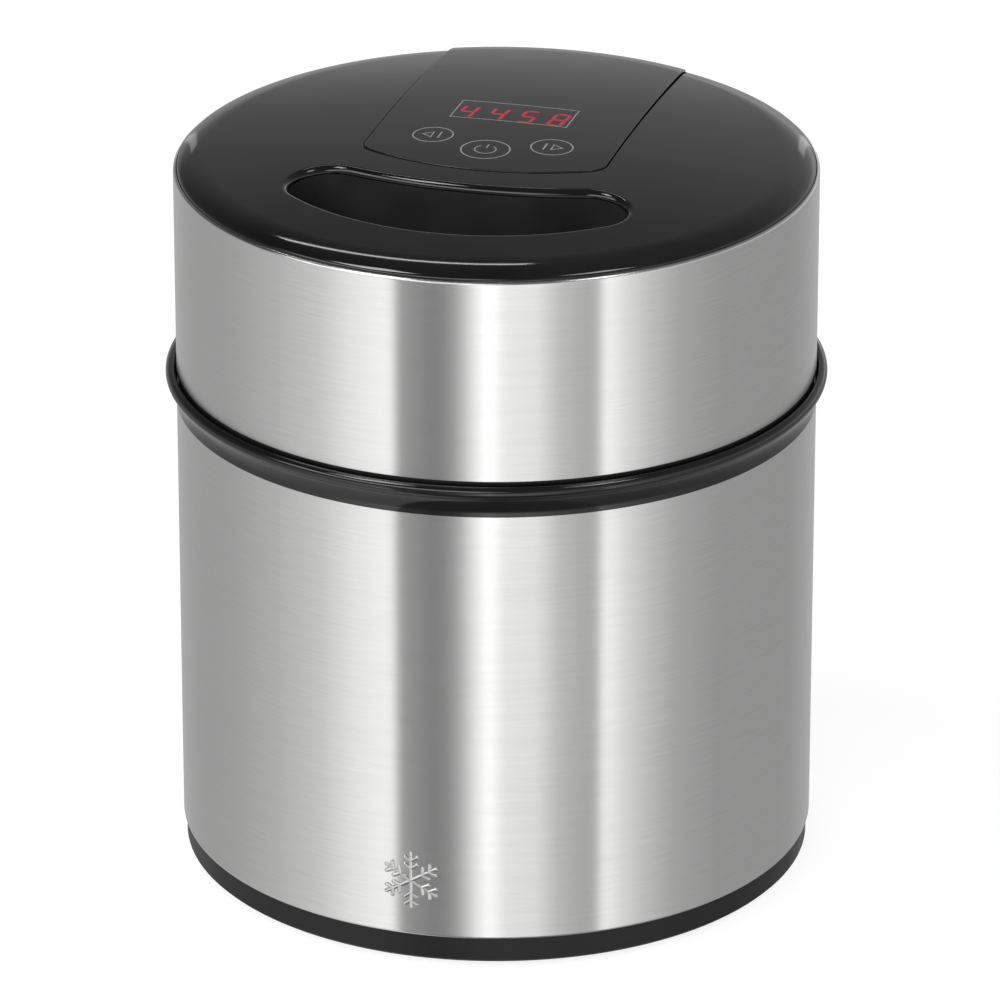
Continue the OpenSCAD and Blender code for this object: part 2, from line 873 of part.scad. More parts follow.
module case_outline(grow) {
    for (w = case_wells) translate([0, w[0]]) circle(r = w[1] + grow);
}

module gearbox_case() {
    color("whitesmoke")
    difference() {
        union() {
            translate([0, 0, case_z]) linear_extrude(case_h) case_outline(case_wall);
            both_sides() at_each(case_ears) rod(5.5, case_z, case_z + case_ear_h);
        }
        translate([0, 0, case_z + case_t]) linear_extrude(case_h) case_outline(0);
        rod(bush_r + fit_gap, case_z - 1, case_z + case_t + 1);
        translate([0, idler_y, 0]) rod(axle_r, case_z + 0.8, case_z + 5);
        both_sides() at_each(case_ears) rod(1.6, case_z - 1, case_z + case_ear_h + 1);
    }
}

module gearbox_lid() {
    color("whitesmoke")
    difference() {
        union() {
            translate([0, 0, lid_z]) linear_extrude(lid_t) case_outline(case_wall);
            translate([0, rotor_y, 0]) rod(motor_r, lid_z, lid_z + lid_t);
        }
        rod(shaft_top_r + run_gap, lid_z - 1, lid_z + lid_t + 1);
        translate([0, idler_y, 0]) rod(axle_r, lid_z - 1, lid_z + 1.6);
        translate([0, rotor_y, 0]) rod(4, lid_z - 1, lid_z + lid_t + 1);
    }
}

module gearbox_screws() {
    color("silver")
    both_sides() at_each(case_ears) screw_down(case_z + case_ear_h, 7, 1.2, 3, 2);
}

module idler_axle() {
    color("silver")
    translate([0, idler_y, 0]) rod(axle_r, case_z + 0.8, lid_z + 1.6);
}

module shaft_bush() {
    color("peru")
    difference() {
        union() {
            rod(bush_r, head_floor_z, case_z + case_t);
            rod(bush_r + 2, case_z + case_t, case_z + case_t + 1);
        }
        rod(shaft_r + run_gap, head_floor_z - 1, case_z + case_t + 2);
    }
}

module shaft_seal() {
    color([0.2, 0.2, 0.2])
    ring(9.5, shaft_r + 0.1, head_floor_z - 2.2, head_floor_z);
}

module motor_can() {
    color("darkgray")
    translate([0, rotor_y, 0]) difference() {
        rod(motor_r, motor_z, motor_z + motor_h);
        rod(motor_r - 1, motor_z - 1, motor_z + motor_h - 1);
        rod(3.5, motor_z, motor_z + motor_h + 1);
    }
}

module coil_bobbin() {
    color("ivory")
    translate([0, rotor_y, 0]) {
        ring(motor_r - 1.4, 17, motor_z + 1.5, motor_z + 3);
        ring(18.2, 17, motor_z + 3, motor_z + motor_h - 4);
        ring(motor_r - 1.4, 17, motor_z + motor_h - 4, motor_z + motor_h - 2.5);
    }
}

module coil_winding() {
    color("chocolate")
    translate([0, rotor_y, 0]) ring(motor_r - 3, 18.2, motor_z + 3, motor_z + motor_h - 4);
}

module stator_claws() {
    color("gray")
    translate([0, rotor_y, 0]) difference() {
        union() {
            ring(16.6, 15, motor_z, motor_z + motor_h - 3);
            ring(motor_r - 1.4, 15, motor_z, motor_z + 1.2);
        }
        for (i = [0:claws - 1]) rotate([0, 0, 360 * i / claws])
            translate([14, -1, motor_z + 3]) cube([4, 2, motor_h]);
    }
}

module rotor_bushes() {
    color("peru")
    translate([0, rotor_y, 0]) {
        ring(4, pin_r + run_gap, lid_z, lid_z + lid_t);
        ring(3.5, pin_r + run_gap, motor_z + motor_h - 3, motor_z + motor_h);
    }
}

module output_shaft() {
    hex_z = paddle_top_z - hex_len + 1;
    shoulder_z = head_floor_z - 4;
    color("silver") {
        translate([0, 0, hex_z]) cylinder(r = hex_r, h = shoulder_z + 1 - hex_z, $fn = 6);
        rod(shaft_r, shoulder_z, output_z + output_h);
        rod(shaft_top_r, output_z + output_h, lid_z + lid_t);
    }
}

module output_gear() {
    color("ivory")
    difference() {
        gear(output_teeth, output_module, 90, output_z, output_h);
        rod(shaft_r, output_z - 1, output_z + output_h + 1);
        for (a = [0:60:300]) rotate([0, 0, a]) translate([14.5, 0])
            rod(4.5, output_z - 1, output_z + output_h + 1);
    }
}

module idler_gear() {
    half = 180 / pinion_teeth;
    color("ivory")
    translate([0, idler_y, 0]) difference() {
        union() {
            gear(pinion_teeth, output_module, -90 + half, output_z - 0.5, wheel_z - output_z + 0.5);
            gear(idler_teeth, motor_module, 90, wheel_z, wheel_h);
        }
        rod(axle_r + run_gap, output_z - 2, wheel_z + wheel_h + 1);
    }
}

module rotor_magnet() {
    color([0.25, 0.25, 0.27])
    translate([0, rotor_y, 0]) ring(magnet_r, pin_r, motor_z + 4, motor_z + motor_h - 5);
}

module rotor_shaft() {
    color("silver")
    translate([0, rotor_y, 0]) rod(pin_r, wheel_z - 1, motor_z + motor_h - 0.5);
}

module rotor_pinion() {
    color("ivory")
    translate([0, rotor_y, 0]) difference() {
        gear(pinion_teeth, motor_module, -90 + 180 / pinion_teeth, wheel_z - 0.5, wheel_h + 1);
        rod(pin_r, wheel_z - 2, wheel_z + wheel_h + 2);
    }
}

rubber_feet();
base_pan();
lower_shell();
snowflake_emblem();
inner_liner();
collar_ring();
base_screws();
bowl_inner();
bowl_jacket();
bowl_rim();
coolant_fill();
paddle();
head_base();
head_band();
top_cover();
control_panel();
fill_chute();
cord_gland();
head_screws();
led_display();
touch_springs();
control_board();
board_screws();
power_board();
power_board_screws();
transformer();
relay();
capacitor();
ribbon_cable();
motor_leads();
gearbox_case();
gearbox_lid();
gearbox_screws();
idler_axle();
shaft_bush();
shaft_seal();
motor_can();
coil_bobbin();
coil_winding();
stator_claws();
rotor_bushes();
output_shaft();
output_gear();
idler_gear();
rotor_magnet();
rotor_shaft();
rotor_pinion();
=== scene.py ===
"""Looks for the ice cream maker: finer outside surfaces, printed marks, materials, studio and camera."""

import json
import math

import bmesh
import bpy
import numpy as np
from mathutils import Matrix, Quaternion, Vector
from mathutils.geometry import delaunay_2d_cdt


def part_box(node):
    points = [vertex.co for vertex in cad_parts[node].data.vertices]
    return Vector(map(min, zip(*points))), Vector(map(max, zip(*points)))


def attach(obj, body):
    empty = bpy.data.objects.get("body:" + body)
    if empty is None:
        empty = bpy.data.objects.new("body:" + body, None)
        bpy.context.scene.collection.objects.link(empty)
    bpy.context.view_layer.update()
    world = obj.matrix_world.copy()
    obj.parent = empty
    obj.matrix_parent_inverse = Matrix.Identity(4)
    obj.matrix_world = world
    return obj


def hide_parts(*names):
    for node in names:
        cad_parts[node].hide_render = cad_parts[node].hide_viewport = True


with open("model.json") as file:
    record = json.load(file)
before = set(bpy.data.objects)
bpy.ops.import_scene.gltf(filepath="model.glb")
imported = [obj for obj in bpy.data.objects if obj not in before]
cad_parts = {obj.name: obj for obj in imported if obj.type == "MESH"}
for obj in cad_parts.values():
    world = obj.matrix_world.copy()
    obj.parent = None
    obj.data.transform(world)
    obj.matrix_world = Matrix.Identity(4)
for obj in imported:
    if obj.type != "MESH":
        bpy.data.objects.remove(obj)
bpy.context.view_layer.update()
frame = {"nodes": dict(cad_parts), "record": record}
MM = 0.001

# ---- Sizes, in millimetres, from the CAD boxes ----


def box_mm(node):
    low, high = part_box(node)
    return [c / MM for c in low], [c / MM for c in high]


shell_low, shell_high = box_mm("lower_shell")
SHELL_R = shell_high[0]
SHELL_Z = shell_low[2]
COLLAR_Z = box_mm("collar_ring")[0][2]
band_low, band_high = box_mm("head_band")
BAND_Z, RIM_Z = band_low[2], band_high[2]
SHEET = 0.8
EDGE_ROLL = 1.0
COVER_R = box_mm("top_cover")[1][0]
COVER_T = 2.5
GLAND_Z = (box_mm("cord_gland")[0][2] + box_mm("cord_gland")[1][2]) / 2

# The dome: a shallow bowl shape out to the shoulder, then an elliptical turn down
DOME_TOP = RIM_Z + 9.9
DOME_CURVE = 0.00055
SHOULDER_R = 100.0
SHOULDER_DROP = DOME_TOP - RIM_Z - DOME_CURVE * COVER_R ** 2

# Filling slot
SLOT_FRONT_R = 82.0
SLOT_REAR_R = 126.5
SLOT_REAR_CY = SLOT_REAR_R - 45.8
SLOT_END_R = 13.2
SLOT_LIP = 2.6
CHUTE_FOOT_R = 73.0
CHUTE_FOOT_Z = 176.5
CHUTE_WALL = 1.8

# Control panel
PANEL_HALF = 43.0
PANEL_FRONT_R = 79.5
PANEL_FRONT_CY = PANEL_FRONT_R - 31.7
PANEL_CORNER_R = 8.0
PANEL_BACK_R = 107.0
PANEL_SEAM = 0.45
PANEL_DEPTH = 2.3
PANEL_LIFT = 0.15
PANEL_SPREAD = 0.00007
PANEL_ROUND = 0.3
PANEL_ROUND_STEPS = 4
TRAY_WALL = 2.8
SLOT_LIP_STEPS = 12

ROUND_STEPS = 256


def dome_height(r):
    edge = min(1.0, max(0.0, (r - SHOULDER_R) / (COVER_R - SHOULDER_R)))
    return DOME_TOP - DOME_CURVE * r * r - SHOULDER_DROP * (1 - math.sqrt(1 - edge * edge))


def dome_normal(x, y, spread=0.0):
    r = math.hypot(x, y)
    if r < 1e-6:
        return Vector((0, 0, 1))
    width = COVER_R - SHOULDER_R
    edge = min(0.9999, max(0.0, (r - SHOULDER_R) / width))
    slope = 2 * (spread - DOME_CURVE) * r - SHOULDER_DROP * edge / (width * math.sqrt(1 - edge * edge))
    return Vector((-slope * x / r, -slope * y / r, 1)).normalized()


# ---- Outlines: lists of (point, outward normal), anticlockwise ----


def arc_points(cx, cy, radius, start, end, steps, side=1):
    """Points from start to end in degrees, without the last. side is -1 where outward is to the centre."""
    found = []
    for i in range(steps):
        a = math.radians(start + (end - start) * i / steps)
        c, s = math.cos(a), math.sin(a)
        found.append(((cx + radius * c, cy + radius * s), (side * c, side * s)))
    return found


def slot_loop():
    """The filling slot: a front arc about the axis, a rear arc curved the same way round, and round ends."""
    end_in = SLOT_FRONT_R - SLOT_END_R
    end_y = (SLOT_REAR_CY ** 2 - (SLOT_REAR_R + SLOT_END_R) ** 2 + end_in ** 2) / (2 * SLOT_REAR_CY)
    end_x = math.sqrt(end_in ** 2 - end_y ** 2)
    front = math.degrees(math.atan2(end_y, end_x))
    rear = math.degrees(math.atan2(end_y - SLOT_REAR_CY, end_x))
    return (
        arc_points(0, 0, SLOT_FRONT_R, -180 - front, front, 72)
        + arc_points(end_x, end_y, SLOT_END_R, front, rear + 180, 30)
        + arc_points(0, SLOT_REAR_CY, SLOT_REAR_R, rear, -180 - rear, 60, -1)
        + arc_points(-end_x, end_y, SLOT_END_R, -rear, 180 - front, 30)
    )


def panel_loop():
    """The panel: a bowed front, round front corners, straight sides and an arc at the back."""
    corner_x = PANEL_HALF - PANEL_CORNER_R
    corner_y = PANEL_FRONT_CY - math.sqrt((PANEL_FRONT_R - PANEL_CORNER_R) ** 2 - corner_x ** 2)
    corner = math.degrees(math.atan2(corner_y - PANEL_FRONT_CY, corner_x))
    back = math.degrees(math.acos(PANEL_HALF / PANEL_BACK_R))
    back_y = PANEL_BACK_R * math.sin(math.radians(back))
    miter = math.radians(back / 2)
    grow = 1 / math.cos(miter)
    side = [(corner_y + (back_y - corner_y) * i / 24) for i in range(24)]
    sharp = ((PANEL_HALF, back_y), (grow * math.cos(miter), grow * math.sin(miter)))
    back_arc = arc_points(0, 0, PANEL_BACK_R, back, 180 - back, 48)[1:]
    return (
        arc_points(0, PANEL_FRONT_CY, PANEL_FRONT_R, -180 - corner, corner, 48)
        + arc_points(corner_x, corner_y, PANEL_CORNER_R, corner, 0, 12)
        + [((PANEL_HALF, y), (1, 0)) for y in side]
        + [sharp]
        + back_arc
        + [((-sharp[0][0], sharp[0][1]), (-sharp[1][0], sharp[1][1]))]
        + [((-PANEL_HALF, y), (-1, 0)) for y in reversed(side)]
        + arc_points(-corner_x, corner_y, PANEL_CORNER_R, 180, 180 - corner, 12)[1:]
    )


def offset(loop, d):
    """An outline's points moved outwards by d."""
    return [(p[0] + n[0] * d, p[1] + n[1] * d) for p, n in loop]


# ---- Mesh building ----


def new_object(name, data):
    """An object in the scene for a mesh, a light or the camera."""
    made = bpy.data.objects.new(name, data)
    bpy.context.scene.collection.objects.link(made)
    return made


def mesh_of(name, bm):
    """The mesh of a finished bmesh, which is freed."""
    mesh = bpy.data.meshes.new(name)
    bm.to_mesh(mesh)
    bm.free()
    return mesh


def smooth(mesh, sharp=30):
    """Smooth shading, with edges sharper than the angle kept."""
    mesh.polygons.foreach_set("use_smooth", [True] * len(mesh.polygons))
    mesh.set_sharp_from_angle(angle=math.radians(sharp))


class Skin:
    """Faces with a normal for each corner, in millimetres. Equal points are shared."""

    def __init__(self):
        self.index = {}
        self.points = []
        self.faces = []
        self.normals = []

    def point(self, p):
        key = (round(p[0], 5), round(p[1], 5), round(p[2], 5))
        if key not in self.index:
            self.index[key] = len(self.points)
            self.points.append(key)
        return self.index[key]

    def face(self, corners, normals=None):
        ids = [self.point(p) for p in corners]
        kept = [k for k in range(len(ids)) if ids[k] != ids[k - 1]]
        if len(kept) < 3:
            return
        if normals is None:
            a, b, c = (Vector(corners[k]) for k in kept[:3])
            flat = (b - a).cross(c - a).normalized()
            normals = [flat] * len(corners)
        self.faces.append([ids[k] for k in kept])
        self.normals.extend(Vector(normals[k]).normalized() for k in kept)

    def strip(self, low, high, low_normals=None, high_normals=None):
        """Faces between two closed rows, facing away from the loop's inside when high is above."""
        count = len(low)
        for i in range(count):
            j = (i + 1) % count
            normals = None
            if low_normals:
                normals = [low_normals[i], low_normals[j], high_normals[j], high_normals[i]]
            self.face([low[i], low[j], high[j], high[i]], normals)

    def make(self, name):
        mesh = bpy.data.meshes.new(name)
        mesh.from_pydata([[c * MM for c in p] for p in self.points], [], self.faces)
        mesh.polygons.foreach_set("use_smooth", [True] * len(mesh.polygons))
        mesh.normals_split_custom_set(self.normals)
        mesh.update()
        return new_object(name, mesh)


def fan_of_rings(max_r):
    """Points on rings, closer together on the shoulder, for a dome's triangles."""
    found = []
    rings = [4 + 6 * i for i in range(16)] + [SHOULDER_R]
    rings += [SHOULDER_R + (COVER_R - SHOULDER_R) * math.sin(math.radians(90 * i / 14)) for i in range(1, 14)]
    for ring in rings:
        if ring >= max_r - 0.2:
            break
        count = ROUND_STEPS if ring >= SHOULDER_R else max(12, int(ring * 1.6))
        for i in range(count):
            a = math.tau * i / count
            found.append((ring * math.cos(a), ring * math.sin(a)))
    return found


def inside(points, loop):
    """Which points lie in a closed outline, by counting crossings."""
    points = np.array(points)
    x, y = points[:, 0][:, None], points[:, 1][:, None]
    a = np.array(loop)
    b = np.roll(a, -1, axis=0)
    crosses = (a[:, 1] > y) != (b[:, 1] > y)
    with np.errstate(divide="ignore", invalid="ignore"):
        at = a[:, 0] + (y - a[:, 1]) * (b[:, 0] - a[:, 0]) / (b[:, 1] - a[:, 1])
    return (crosses & (x < at)).sum(1) % 2 == 1


def triangles(loops, spare, margin=0.35):
    """Triangles over the plane with the outlines as edges, and spare points kept off the outlines."""
    fixed = [p for loop in loops for p in loop]
    edges, start = [], 0
    for loop in loops:
        edges += [(start + i, start + (i + 1) % len(loop)) for i in range(len(loop))]
        start += len(loop)
    near = np.array(fixed)
    kept = [p for p in spare if np.hypot(near[:, 0] - p[0], near[:, 1] - p[1]).min() > margin]
    verts = [Vector(p) for p in fixed + kept]
    points, _, faces, *_ = delaunay_2d_cdt(verts, edges, [], 0, 1e-6)
    return [(p.x, p.y) for p in points], faces


def upright(p):
    """The level unit vector along a point or normal of the plane."""
    return Vector((p[0], p[1], 0)).normalized()


def on_dome(p, lift=0.0):
    """A point of the plane set on the dome."""
    return (p[0], p[1], dome_height(math.hypot(p[0], p[1])) + lift)


def flat_faces(skin, points, faces, chosen, lift, facing, spread=0.0):
    """The chosen triangles, lift above the dome and spread more further out. facing: 1 up, -1 down."""
    for face, use in zip(faces, chosen):
        if not use:
            continue
        flat = [points[i] for i in face]
        (ax, ay), (bx, by) = ((flat[k][0] - flat[0][0], flat[k][1] - flat[0][1]) for k in (1, 2))
        if (ax * by - ay * bx > 0) != (facing > 0):
            flat.reverse()
        lifts = [lift + spread * (p[0] ** 2 + p[1] ** 2) for p in flat]
        skin.face([on_dome(p, h) for p, h in zip(flat, lifts)],
                  [facing * dome_normal(p[0], p[1], spread) for p in flat])


def centres(points, faces):
    """The middle of each face."""
    return [[sum(points[i][k] for i in face) / len(face) for k in (0, 1)] for face in faces]


def rolled_rows(loop, radius, steps, outward):
    """Rows of a rounded edge on the dome, from the flat to the wall: (points, normals) for each step.
    outward is 1 where the flat lies outside the outline, -1 where it lies inside."""
    rows = []
    for k in range(steps + 1):
        a = math.radians(90 * k / steps)
        reach, drop = radius * (1 - math.sin(a)), radius * (1 - math.cos(a))
        flat = offset(loop, outward * reach)
        points = [on_dome(p, -drop) for p in flat]
        normals = []
        for p, (_, n) in zip(flat, loop):
            across = Vector((-outward * n[0], -outward * n[1], 0)).normalized()
            normals.append((dome_normal(*p) * math.cos(a) + across * math.sin(a)).normalized())
        rows.append((points, normals))
    return rows


def make_cover():
    """The domed cover: rolled lip round the slot, recess for the panel, and a closed underside."""
    skin = Skin()
    slot, panel = slot_loop(), panel_loop()
    recess = PANEL_DEPTH + 0.1
    tray = recess + TRAY_WALL
    turns = [math.tau * i / ROUND_STEPS for i in range(ROUND_STEPS)]
    rim = [(COVER_R * math.cos(a), COVER_R * math.sin(a)) for a in turns]
    slot_out = offset(slot, SLOT_LIP)
    slot_in = offset(slot, 0)
    seam_out = offset(panel, PANEL_SEAM + PANEL_ROUND)
    seam_in = offset(panel, PANEL_SEAM)
    points, faces = triangles([rim, slot_out, slot_in, seam_out, seam_in], fan_of_rings(COVER_R))
    middle = centres(points, faces)
    in_slot_out, in_slot = inside(middle, slot_out), inside(middle, slot_in)
    in_seam_out, in_seam = inside(middle, seam_out), inside(middle, seam_in)
    flat_faces(skin, points, faces, ~in_slot_out & ~in_seam_out, 0, 1)
    flat_faces(skin, points, faces, in_seam, -recess, 1)
    flat_faces(skin, points, faces, ~in_slot & ~in_seam, -COVER_T, -1)
    flat_faces(skin, points, faces, in_seam, -tray, -1)
    rolls = [(rolled_rows(slot, SLOT_LIP, SLOT_LIP_STEPS, 1), slot, COVER_T)]
    seam_edge = [((p[0] + n[0] * PANEL_SEAM, p[1] + n[1] * PANEL_SEAM), n) for p, n in panel]
    rolls.append((rolled_rows(seam_edge, PANEL_ROUND, PANEL_ROUND_STEPS, 1), seam_edge, recess))
    for rows, loop, depth in rolls:
        for (high, high_n), (low, low_n) in zip(rows, rows[1:]):
            skin.strip(high, low, high_n, low_n)
        wall_n = [-upright(n) for _, n in loop]
        skin.strip(rows[-1][0], [on_dome(p, -depth) for p, _ in loop], wall_n, wall_n)
    # the tray's own side, below the cover's underside
    tray_n = [upright(n) for _, n in seam_edge]
    tray_foot = [on_dome(p, -tray) for p, _ in seam_edge]
    tray_head = [on_dome(p, -COVER_T) for p, _ in seam_edge]
    skin.strip(tray_foot, tray_head, tray_n, tray_n)
    # the outer edge, down inside the steel band
    rim_n = [upright(p) for p in rim]
    skin.strip([on_dome(p, -COVER_T) for p in rim], [on_dome(p) for p in rim], rim_n, rim_n)
    return skin.make("cover_skin")


def make_panel():
    """The panel: a thin slab on the dome with a small round along its edge."""
    skin = Skin()
    loop = panel_loop()
    inner = offset(loop, -PANEL_ROUND)
    outer = offset(loop, 0)
    points, faces = triangles([outer, inner], fan_of_rings(PANEL_BACK_R + 5))
    middle = centres(points, faces)
    in_inner, in_outer = inside(middle, inner), inside(middle, outer)
    flat_faces(skin, points, faces, in_inner, PANEL_LIFT, 1, PANEL_SPREAD)
    flat_faces(skin, points, faces, in_outer, -PANEL_DEPTH, -1)
    raised = []
    for row, normals in rolled_rows(loop, PANEL_ROUND, PANEL_ROUND_STEPS, -1):
        heights = [PANEL_LIFT + PANEL_SPREAD * (p[0] ** 2 + p[1] ** 2) for p in row]
        raised.append(([(p[0], p[1], p[2] + h) for p, h in zip(row, heights)], normals))
    for (high, high_n), (low, low_n) in zip(raised, raised[1:]):
        skin.strip(low, high, low_n, high_n)
    wall_n = [upright(n) for _, n in loop]
    skin.strip([on_dome(p, -PANEL_DEPTH) for p in outer], raised[-1][0], wall_n, wall_n)
    return skin.make("panel_skin")


def make_chute():
    """The chute under the slot: upright walls, with the front wall led inwards to the bowl's mouth."""
    skin = Skin()
    loop = slot_loop()
    rows_down = 18
    below_cover = 0.1
    lean = 0.13

    def cone_r(z, grow):
        """The led-in wall's radius at a height."""
        share = (z - CHUTE_FOOT_Z) / (DOME_TOP - CHUTE_FOOT_Z)
        return CHUTE_FOOT_R + grow + share * (SLOT_FRONT_R + 1 - CHUTE_FOOT_R)

    def row(grow, k):
        points, normals = [], []
        for p, n in loop:
            q = (p[0] + n[0] * grow, p[1] + n[1] * grow)
            high = dome_height(math.hypot(*q)) - COVER_T - below_cover
            z = CHUTE_FOOT_Z + (high - CHUTE_FOOT_Z) * k / rows_down
            r, limit = math.hypot(*q), cone_r(z, grow)
            if r > limit:
                points.append((q[0] * limit / r, q[1] * limit / r, z))
                normals.append(Vector((q[0], q[1], -lean * r)).normalized())
            else:
                points.append((q[0], q[1], z))
                normals.append(upright(n))
        return points, normals

    inner = [row(0, k) for k in range(rows_down + 1)]
    outer = [row(CHUTE_WALL, k) for k in range(rows_down + 1)]
    for (low, low_n), (high, high_n) in zip(inner, inner[1:]):
        skin.strip(high, low, [-n for n in high_n], [-n for n in low_n])
    for (low, low_n), (high, high_n) in zip(outer, outer[1:]):
        skin.strip(low, high, low_n, high_n)
    skin.strip(inner[0][0], outer[0][0])
    skin.strip(outer[-1][0], inner[-1][0])
    return skin.make("chute_skin")


def lathe(name, profile):
    """A closed profile of (radius, height) turned about the upright axis."""
    bm = bmesh.new()
    turns = [math.tau * i / ROUND_STEPS for i in range(ROUND_STEPS)]
    rings = []
    for r, z in profile:
        rings.append([bm.verts.new((r * MM * math.cos(a), r * MM * math.sin(a), z * MM)) for a in turns])
    for low, high in zip(rings, rings[1:] + rings[:1]):
        for i in range(ROUND_STEPS):
            j = (i + 1) % ROUND_STEPS
            bm.faces.new((low[i], low[j], high[j], high[i]))
    bmesh.ops.recalc_face_normals(bm, faces=bm.faces)
    mesh = mesh_of(name, bm)
    smooth(mesh)
    return new_object(name, mesh)


def bend(cx, cz, radius, start, end, steps=10):
    """Points of a round in a profile, from start to end in degrees, both included."""
    turns = [math.radians(start + (end - start) * i / steps) for i in range(steps + 1)]
    return [(cx + radius * math.cos(a), cz + radius * math.sin(a)) for a in turns]


def upright_wall(r, z0, z1):
    """A straight wall with extra rows near its ends, so that the rounds beside it don't bend its shading."""
    end = (z1 - z0) * 0.01
    return [(r, z0), (r, z0 + end), (r, z1 - end), (r, z1)]


PAST_ROLL = 0.3


def make_lower_shell():
    """The lower steel wall, turned in at its foot to hold on to the base pan."""
    inner_r = SHELL_R - SHEET
    centre = SHELL_R - EDGE_ROLL
    lip = SHELL_R - 2.0
    profile = [(lip, SHELL_Z)]
    profile += bend(centre, SHELL_Z + EDGE_ROLL, EDGE_ROLL, -90, 0)
    profile += upright_wall(SHELL_R, SHELL_Z + EDGE_ROLL + PAST_ROLL, COLLAR_Z)
    profile += upright_wall(inner_r, COLLAR_Z, SHELL_Z + EDGE_ROLL + PAST_ROLL)
    profile += bend(centre, SHELL_Z + EDGE_ROLL, EDGE_ROLL - SHEET, 0, -90)
    profile += [(lip, SHELL_Z + SHEET)]
    return lathe("lower_shell_skin", profile)


def make_head_band():
    """The head's steel wall, rolled in at its top edge, with the lead's hole at the back."""
    inner_r = SHELL_R - SHEET
    centre = SHELL_R - EDGE_ROLL
    hole_r = 6.0
    hole_half_depth = 5
    profile = upright_wall(SHELL_R, BAND_Z, RIM_Z - EDGE_ROLL - PAST_ROLL)
    profile += bend(centre, RIM_Z - EDGE_ROLL, EDGE_ROLL, 0, 90)
    profile += bend(centre, RIM_Z - EDGE_ROLL, EDGE_ROLL - SHEET, 90, 0)
    profile += upright_wall(inner_r, RIM_Z - EDGE_ROLL - PAST_ROLL, BAND_Z)
    piece = lathe("head_band_skin", profile)
    cut(piece, drill("gland_hole", hole_r, (0, SHELL_R, GLAND_Z), hole_half_depth))
    return piece


def make_collar():
    """The collar: flared outside, round lip, and a plate with notches for the bowl's and head's lugs."""
    foot_out, lip_out, lip_r = 0.3, 3.8, 2.2
    lip_start, flare_end, flare_steps = 60, 78, 20
    corner_r = 0.3
    lip_z = COLLAR_Z + 9.6
    plate_z = COLLAR_Z + 5.5
    under_z = COLLAR_Z + 2
    plate_r = SHELL_R - 9.5
    bore_r = SHELL_R - SHEET - 0.1
    inner_r = SHELL_R + 0.7
    inner_z = lip_z + lip_r * 0.9
    reach = lip_out - foot_out - lip_r * (1 - math.cos(math.radians(lip_start)))
    rise = lip_z - lip_r * math.sin(math.radians(lip_start)) - COLLAR_Z
    end = math.radians(flare_end)
    profile = []
    for i in range(flare_steps):
        a = end * i / flare_steps
        out = reach * (1 - math.cos(a)) / (1 - math.cos(end))
        profile.append((SHELL_R + foot_out + out, COLLAR_Z + rise * math.sin(a) / math.sin(end)))
    profile += bend(SHELL_R + lip_out - lip_r, lip_z, lip_r, -lip_start, 112, 24)
    profile += bend(inner_r + corner_r, inner_z - corner_r, corner_r, 125, 178, 4)
    # down the inside, round the foot of the trough, over the plate and back under it
    profile += [(SHELL_R + 0.5, plate_z + 2), (SHELL_R + 0.3, plate_z + 1.2), (SHELL_R + 0.05, plate_z + 0.4)]
    profile += [(SHELL_R - 0.2, plate_z), (SHELL_R - 0.6, plate_z), (plate_r + corner_r, plate_z)]
    profile += [(plate_r, plate_z - corner_r), (plate_r, under_z), (bore_r, under_z), (bore_r, COLLAR_Z)]
    piece = lathe("collar_skin", profile)
    bowl_lugs = [(a, 15.2, plate_r - 2, plate_r + 3.6) for a in (30, 150, 270)]
    head_lugs = [(a, 11.2, SHELL_R - 5.4, SHELL_R - 1.2) for a in (90, 210, 330)]
    cut(piece, blocks("collar_notches", bowl_lugs + head_lugs, COLLAR_Z + 1, plate_z + 1))
    return piece


EMBLEM_ARM = 11.0
EMBLEM_BAR = 1.5
EMBLEM_RISE = 0.5
EMBLEM_SINK = 0.3
TWIG_PLACES = (0.42, 0.68)
TWIG_LENGTH = 0.3
TWIG_ANGLE = 55


